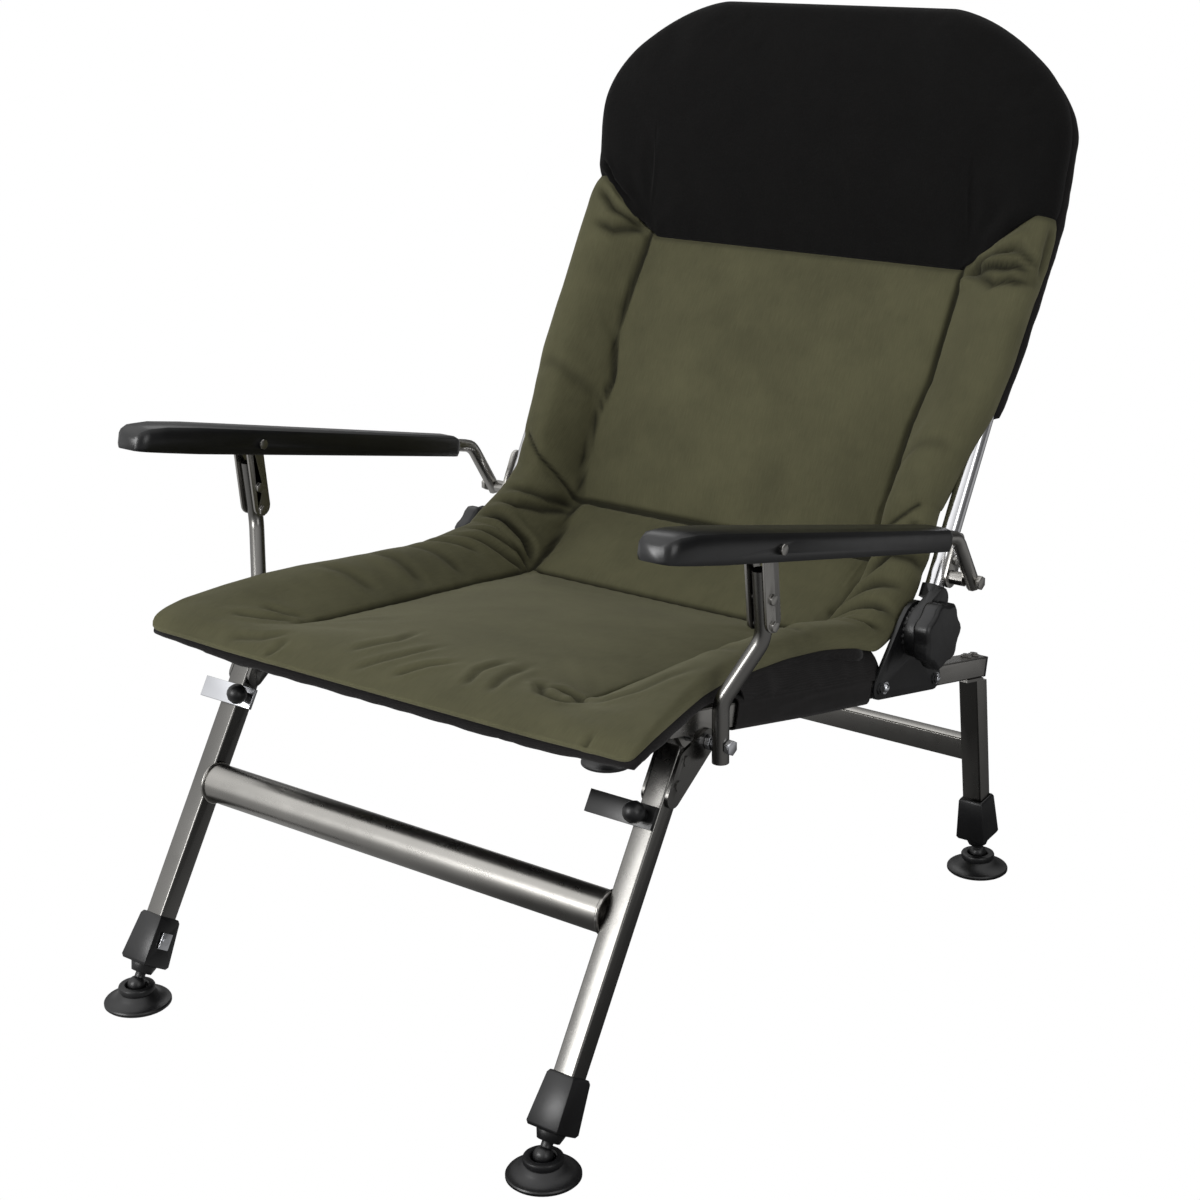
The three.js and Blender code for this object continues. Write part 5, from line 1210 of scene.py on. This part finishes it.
PIVOT = Vector(joints["strut_swing_right"]["pos_m"]) / MM
RIVET = Vector(joints["armrest_tilt_right"]["pos_m"]) / MM
STRUT_RADIUS, STRUT_BENDS = 7.5, (30, 30)
STRUT_CORNERS = ((276.0, PIVOT.y, PIVOT.z - 16), (276.0, PIVOT.y, PIVOT.z + 38), (301.3, RIVET.y + 6, 412.0),
                 (301.3, RIVET.y, 474.0))
# The struts take the darker copy of the graphite steel: painted shade.
for side_name, side in SIDES.items():
    way = rounded_way([Vector((side * x, y, z)) * MM for x, y, z in STRUT_CORNERS], STRUT_BENDS, radians(4))
    finish_piece(bent_tube(way, STRUT_RADIUS, 7), f"strut_tube_{side_name}", f"strut_{side_name}",
                 "graphite_steel", (f"arm_strut_{side_name}",), material=GRAPHITE_SHADED_LEG)

LEG_LEAN = {"front": radians(32), "rear": radians(-7.4)}
CROSSBAR_RADIUS, CROSSBAR_HALF, CROSSBAR_WALL, CROSSBAR_BORE = 18.9, 238.4, 1.6, 20
CROSSBAR_AT = 205.0  # up the front legs from their feet's balls
BEAD_RADIUS = 1.7


def front_bar():
    """The round bar between the front legs, open at both ends, with the weld's bead round each end."""
    centre = Vector(joints["foot_tilt_front_right"]["pos_m"]) + Vector(
        (0, sin(LEG_LEAN["front"]), cos(LEG_LEAN["front"]))) * CROSSBAR_AT * MM
    centre.x = 0
    bar = primitive(bpy.ops.mesh.primitive_cylinder_add, vertices=56, radius=CROSSBAR_RADIUS * MM,
                    depth=2 * CROSSBAR_HALF * MM, location=centre, rotation=(0, pi / 2, 0))
    with editing(bar, "polygons", lambda face: abs(face.normal.x) > 0.9):
        bpy.ops.mesh.inset(thickness=CROSSBAR_WALL * MM, use_individual=True)
        bpy.ops.mesh.extrude_region_shrink_fatten(TRANSFORM_OT_shrink_fatten={"value": -CROSSBAR_BORE * MM})
    finish_piece(bar, "front_bar", "front_legs", "graphite_steel", ("front_crossbar",))
    for name, side in SIDES.items():
        bead = primitive(bpy.ops.mesh.primitive_torus_add, major_radius=(CROSSBAR_RADIUS + 0.4) * MM,
                         minor_radius=BEAD_RADIUS * MM, major_segments=72, minor_segments=10,
                         location=centre + Vector((side * (CROSSBAR_HALF - 0.9) * MM, 0, 0)),
                         rotation=(0, pi / 2, 0))
        finish_piece(crumple(bead, 0.5 * MM, 3.5 * MM, seed=side), f"weld_bead_{name}", "front_legs",
                     "graphite_steel", smooth=60)


front_bar()

FOOT_PROFILE = (
    # radius, height
    (0.0, 0.7), (25.0, 0.7), (26.5, 0.0), (30.8, 0.0), (32.0, 1.1), (32.0, 3.1), (31.2, 4.3), (28.8, 4.6),
    (26.8, 5.1), (23.0, 7.0), (20.0, 9.6), (17.9, 12.2), (16.2, 13.2), (16.2, 14.0), (17.4, 14.7), (17.5, 17.7),
    (16.8, 19.1), (15.2, 19.6), (11.6, 19.5), (10.6, 18.4), (10.3, 16.0), (7.6, 12.4), (4.0, 10.3), (0.0, 9.6))
FOOT_STEPS = 56
LEAF_SIZE = (1.0, 13.0, 16.0)
LEAF_DEPTH = 0.35  # of the leaf's middle under the collar's face


def mud_foot():
    """One mud foot: its profile spun round, in metres round the ball's axis, standing on the ground."""
    foot = primitive(bpy.ops.mesh.primitive_circle_add, vertices=len(FOOT_PROFILE), radius=20 * MM)
    for vertex, (radius, height) in zip(foot.data.vertices, FOOT_PROFILE):
        vertex.co = (radius * MM, 0, height * MM)
    with editing(foot, "edges", lambda edge: {0, len(FOOT_PROFILE) - 1} == set(edge.vertices)):
        bpy.ops.mesh.delete(type="EDGE")
        bpy.ops.mesh.select_all(action="SELECT")
        bpy.ops.mesh.spin(steps=FOOT_STEPS, angle=2 * pi, center=(0, 0, 0), axis=(0, 0, 1))
        bpy.ops.mesh.select_all(action="SELECT")
        bpy.ops.mesh.remove_doubles(threshold=0.01 * MM)
        bpy.ops.mesh.normals_make_consistent(inside=False)
    return foot


def spring_leaf(end, side_name, side):
    """The sprung metal leaf that holds the button in the collar's inner face."""
    lo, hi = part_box(f"spring_button_{end}_{side_name}")
    centre = (Vector(lo) + Vector(hi)) / 2
    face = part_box(f"leg_collar_{end}_{side_name}")[1 if side < 0 else 0][0]
    leaf = primitive(bpy.ops.mesh.primitive_cube_add, size=1, rotation=(-LEG_LEAN[end], 0, 0),
                     location=(face - side * LEAF_DEPTH * MM, centre.y, centre.z),
                     scale=[c * MM for c in LEAF_SIZE])
    with editing(leaf):
        bpy.ops.mesh.bevel(offset=0.4 * MM, segments=2, affect="EDGES")
    body = "front_legs" if end == "front" else "frame"
    finish_piece(leaf, f"spring_leaf_{end}_{side_name}", body, "zinc_fastener")


first_foot = mud_foot()
for end in ENDS:
    for side_name, side in SIDES.items():
        tag = f"{end}_{side_name}"
        ball = joints["foot_tilt_" + tag]["pos_m"]
        foot = copy_of(first_foot, "foot_disc_" + tag, (side * RAIL_X * MM, ball[1], 0))
        finish_piece(foot, foot.name, "foot_" + tag, "black_plastic", ("mud_foot_" + tag,), 32)
        spring_leaf(end, side_name, side)
bpy.data.objects.remove(first_foot)


def merged_copy(node_name):
    """A copy of a node's mesh with its triangles merged into whole faces."""
    piece = in_scene(node_name + "_copy", frame["nodes"][node_name].data.copy())
    with editing(piece):
        bpy.ops.mesh.remove_doubles(threshold=0.005 * MM)
        bpy.ops.mesh.dissolve_limited(angle_limit=radians(1.2))
        bpy.ops.mesh.normals_make_consistent(inside=False)
    return piece


def soften_edges(piece, width):
    """Breaks the sharp edges of a moulding or a pressed plate."""
    bevel = piece.modifiers.new("Broken edges", "BEVEL")
    bevel.width = width * MM
    bevel.segments = 2
    bevel.limit_method = "ANGLE"
    bevel.angle_limit = radians(40)
    bevel.miter_outer = "MITER_ARC"
    return apply_modifiers(piece)


LONG_EDGE, TUBE_ROUNDING = 60, 1.7  # mm


def round_long_edges(piece):
    """Gives drawn square tube its rounded corners, along its long edges only."""
    mesh = bmesh.new()
    mesh.from_mesh(piece.data)
    long_edges = {edge.index for edge in mesh.edges
                  if edge.calc_length() > LONG_EDGE * MM and len(edge.link_faces) == 2
                  and edge.calc_face_angle(0) > radians(60) and edge.is_convex}
    mesh.free()
    with editing(piece, "edges", lambda edge: edge.index in long_edges):
        bpy.ops.mesh.bevel(offset=TUBE_ROUNDING * MM, segments=3, affect="EDGES", clamp_overlap=False)
    return piece


body_of = {node: body for body, nodes in frame["record"]["behaviour"]["bodies"].items() for node in nodes}
BOTH = tuple("_" + side for side in SIDES)
FOUR = tuple(f"_{end}_{side}" for end in ENDS for side in SIDES)
# CAD piece, its finished piece, which copies, width of the broken edges in mm, angle up to which faces run on
MOULDED = (
    ("leg_collar", "collar", FOUR, 0.9, 40),
    ("telescopic_stem", "stem", FOUR, 0.35, 44),
    ("hinge_plate", "quadrant", BOTH, 0.5, 30),
    ("hinge_arm", "back_socket", BOTH, 0.6, 40),
    ("hinge_knob", "tightening_knob", BOTH, 1.1, 40),
    ("latch_bar", "latch_strip", BOTH, 0.5, 40),
    ("latch_knob", "latch_ball", BOTH, 0.3, 46),
    ("arm_bracket", "link_plate", BOTH, 0.4, 40),
    ("strut_channel", "strut_clasp", BOTH, 0.35, 40),
    ("armrest", "arm_moulding", BOTH, 1.0, 40),
    ("arm_tube", "arm_rod", BOTH, 0.3, 46),
    ("rail_end_cap", "rail_plug", BOTH, 1.0, 40),
    ("pivot_bolt", "leg_bolt", BOTH, 0.3, 46),
    ("hinge_pin", "hinge_bolt", BOTH, 0.3, 46),
)
# The front legs take the darker copy of the graphite steel: painted shade.
TUBES = (("rail", "side_rail", BOTH, None), ("front_leg", "leg_front", BOTH, GRAPHITE_SHADED_LEG),
         ("rear_leg", "leg_rear", BOTH, None), ("rear_crossbar", "rear_bar", ("",), None))
for node, finished, copies, width, run_on in MOULDED:
    for ending in copies:
        finish_piece(soften_edges(merged_copy(node + ending), width), finished + ending, body_of[node + ending],
                     slots[node + ending], (node + ending,), run_on)
# The right latch strip gets the darker copy of its own graphite steel: painted shade.
bpy.data.objects["latch_strip_right"].data.materials[0] = GRAPHITE_PAINTED_SHADE
for node, finished, copies, material in TUBES:
    for ending in copies:
        finish_piece(round_long_edges(merged_copy(node + ending)), finished + ending, body_of[node + ending],
                     "graphite_steel", (node + ending,), 32, material)

PLATE_BOLTS = (112.0, 212.0)  # along the rail
PLATE_FACE = 264.0  # just under the outer face of the hinge plate, from the chair's middle
WASHER_RADIUS, WASHER_DEPTH = 6.0, 1.3
BOLT_HEAD_RADIUS, BOLT_HEAD_HEIGHT = 4.4, 3.6
BOLT_SIDES, BOLT_DOME_STEPS = 28, 5


def plate_bolt():
    """A domed bolt head on its washer, round the X axis, with the washer's foot at the origin."""
    bolt = primitive(bpy.ops.mesh.primitive_cylinder_add, vertices=BOLT_SIDES, radius=WASHER_RADIUS * MM,
                     depth=WASHER_DEPTH * MM, location=(WASHER_DEPTH * MM / 2, 0, 0), rotation=(0, pi / 2, 0))
    # The last step stops short of the dome's pole, so that its ring doesn't shrink to a point.
    turns = [pi / 2 * step / BOLT_DOME_STEPS for step in range(BOLT_DOME_STEPS)]
    turns.append(pi / 2 * (1 - 0.4 / BOLT_DOME_STEPS))
    with editing(bolt, "polygons", lambda face: face.normal.x > 0.9):
        bpy.ops.mesh.inset(thickness=(WASHER_RADIUS - BOLT_HEAD_RADIUS) * MM)
        for low, high in zip(turns, turns[1:]):
            rise, shrink = (sin(high) - sin(low)) * BOLT_HEAD_HEIGHT * MM, cos(high) / cos(low)
            bpy.ops.mesh.extrude_region_move(TRANSFORM_OT_translate={"value": (rise, 0, 0)})
            bpy.ops.transform.resize(value=(1, shrink, shrink))
    return bolt


first_bolt = plate_bolt()
for side_name, side in SIDES.items():
    for number, along in enumerate(PLATE_BOLTS, 1):
        bolt = copy_of(first_bolt, f"plate_bolt_{side_name}_{number}", rail_point(side * PLATE_FACE, along),
                       0 if side > 0 else pi)
        finish_piece(bolt, bolt.name, "frame", "zinc_fastener")
bpy.data.objects.remove(first_bolt)

# Floor, light and camera
CAMERA_AT = (1.2855, -1.64103, 1.0360)
CAMERA_YAW, CAMERA_PITCH, CAMERA_ROLL = 0.66288, 0.32023, -0.013513
CAMERA_LENS = 67.62
WHITE = (1, 1, 1, 1)
ROOM_LEVEL = 0.5
# What metal reflects of the room, by direction: the span of each axis and the levels at its ends
REFLECTED = {"X": ((-0.6, 0.7), (1.3, 0.35)), "Y": ((-0.5, 0.8), (1.0, 0.12)), "Z": ((0.35, 0.8), (0.0, 1.0))}
FLOOR_SIZE, FLOOR_HEIGHT = 9, -0.0005
FLOOR_SPAN = (-1.5, 1.5)  # across the chair, over which the reflected floor changes as follows
FLOOR_GREYS = ((0.0, 0.60), (0.40, 0.42), (0.50, 0.10), (0.58, 0.05), (0.68, 0.14), (0.80, 0.40))
LAMPS = (
    # name, place, aim, size and power
    ("key", (-0.9, -2.9, 1.3), (0, 0, 0.45), 1.3, 46),
    ("fill", (2.6, -1.0, 1.2), (0, 0, 0.4), 1.4, 12),
    ("rim", (-1.6, 1.6, 2.2), (0, 0, 0.5), 1.4, 5),
)


def make_camera():
    data = bpy.data.cameras.new("camera")
    data.lens = CAMERA_LENS
    data.sensor_width = 36
    data.sensor_fit = "HORIZONTAL"
    camera = in_scene("camera", data)
    turn = Matrix.Rotation(CAMERA_YAW, 4, "Z") @ Matrix.Rotation(pi / 2 - CAMERA_PITCH, 4, "X")
    camera.matrix_world = Matrix.Translation(CAMERA_AT) @ turn @ Matrix.Rotation(CAMERA_ROLL, 4, "Z")
    bpy.context.scene.camera = camera


def make_world():
    """Plain white to the camera, a plain level on the object, and a lit room with dark sides in metal."""
    world = bpy.data.worlds.new("studio")
    world.use_nodes = True
    bpy.context.scene.world = world
    world.node_tree.nodes.clear()
    nodes = Nodes(world.node_tree)
    split = nodes.node("SeparateXYZ")
    nodes.link(nodes.node("TexCoord").outputs["Generated"], split.inputs["Vector"])
    across, ahead, above = (nodes.map_range(split.outputs[axis], *span) for axis, span in REFLECTED.items())
    reflected = nodes.node("Background")
    level = nodes.math("ADD", nodes.math("MULTIPLY", across, ahead), above)
    nodes.link(level, reflected.inputs["Strength"])
    around = nodes.node("Background", Color=WHITE, Strength=ROOM_LEVEL)
    seen = nodes.node("Background", Color=WHITE, Strength=1.0)
    shader = nodes.mixed("Is Glossy Ray", around.outputs["Background"], reflected.outputs["Background"])
    shader = nodes.mixed("Is Camera Ray", shader, seen.outputs["Background"])
    nodes.link(shader, nodes.node("OutputWorld").inputs["Surface"])


def make_lamp(name, at, aim, size, power):
    data = bpy.data.lights.new(name, "AREA")
    data.shape = "DISK"
    data.size = size
    data.energy = power
    lamp = in_scene(name, data)
    lamp.location = at
    lamp.rotation_euler = (Vector(aim) - Vector(at)).to_track_quat("-Z", "Y").to_euler()


def make_floor():
    """White to the camera, pale under the object, and a floor with a dark stretch in metal."""
    deselect()
    bpy.ops.mesh.primitive_plane_add(size=FLOOR_SIZE, location=(0, 0, FLOOR_HEIGHT))
    floor = bpy.context.object
    floor.name = "floor"
    finish = Finish("floor_white", (0.93, 0.93, 0.93), 0.9)
    floor.data.materials.append(finish.material)
    split = finish.node("SeparateXYZ")
    finish.link(finish.coordinates(), split.inputs["Vector"])
    greys = finish.ramp(finish.map_range(split.outputs["X"], FLOOR_SPAN, (0.0, 1.0)),
                        *((at, (grey,) * 3) for at, grey in FLOOR_GREYS))
    mirrored = finish.node("Emission")
    finish.link(greys, mirrored.inputs["Color"])
    seen = finish.node("Emission", Color=WHITE, Strength=1.0)
    shader = finish.mixed("Is Glossy Ray", finish.shader.outputs["BSDF"], mirrored.outputs["Emission"])
    shader = finish.mixed("Is Camera Ray", shader, seen.outputs["Emission"])
    finish.link(shader, finish.tree.nodes["Material Output"].inputs["Surface"])


make_camera()
make_world()
make_floor()
for lamp in LAMPS:
    make_lamp(*lamp)
bpy.context.scene.view_settings.view_transform = "Standard"
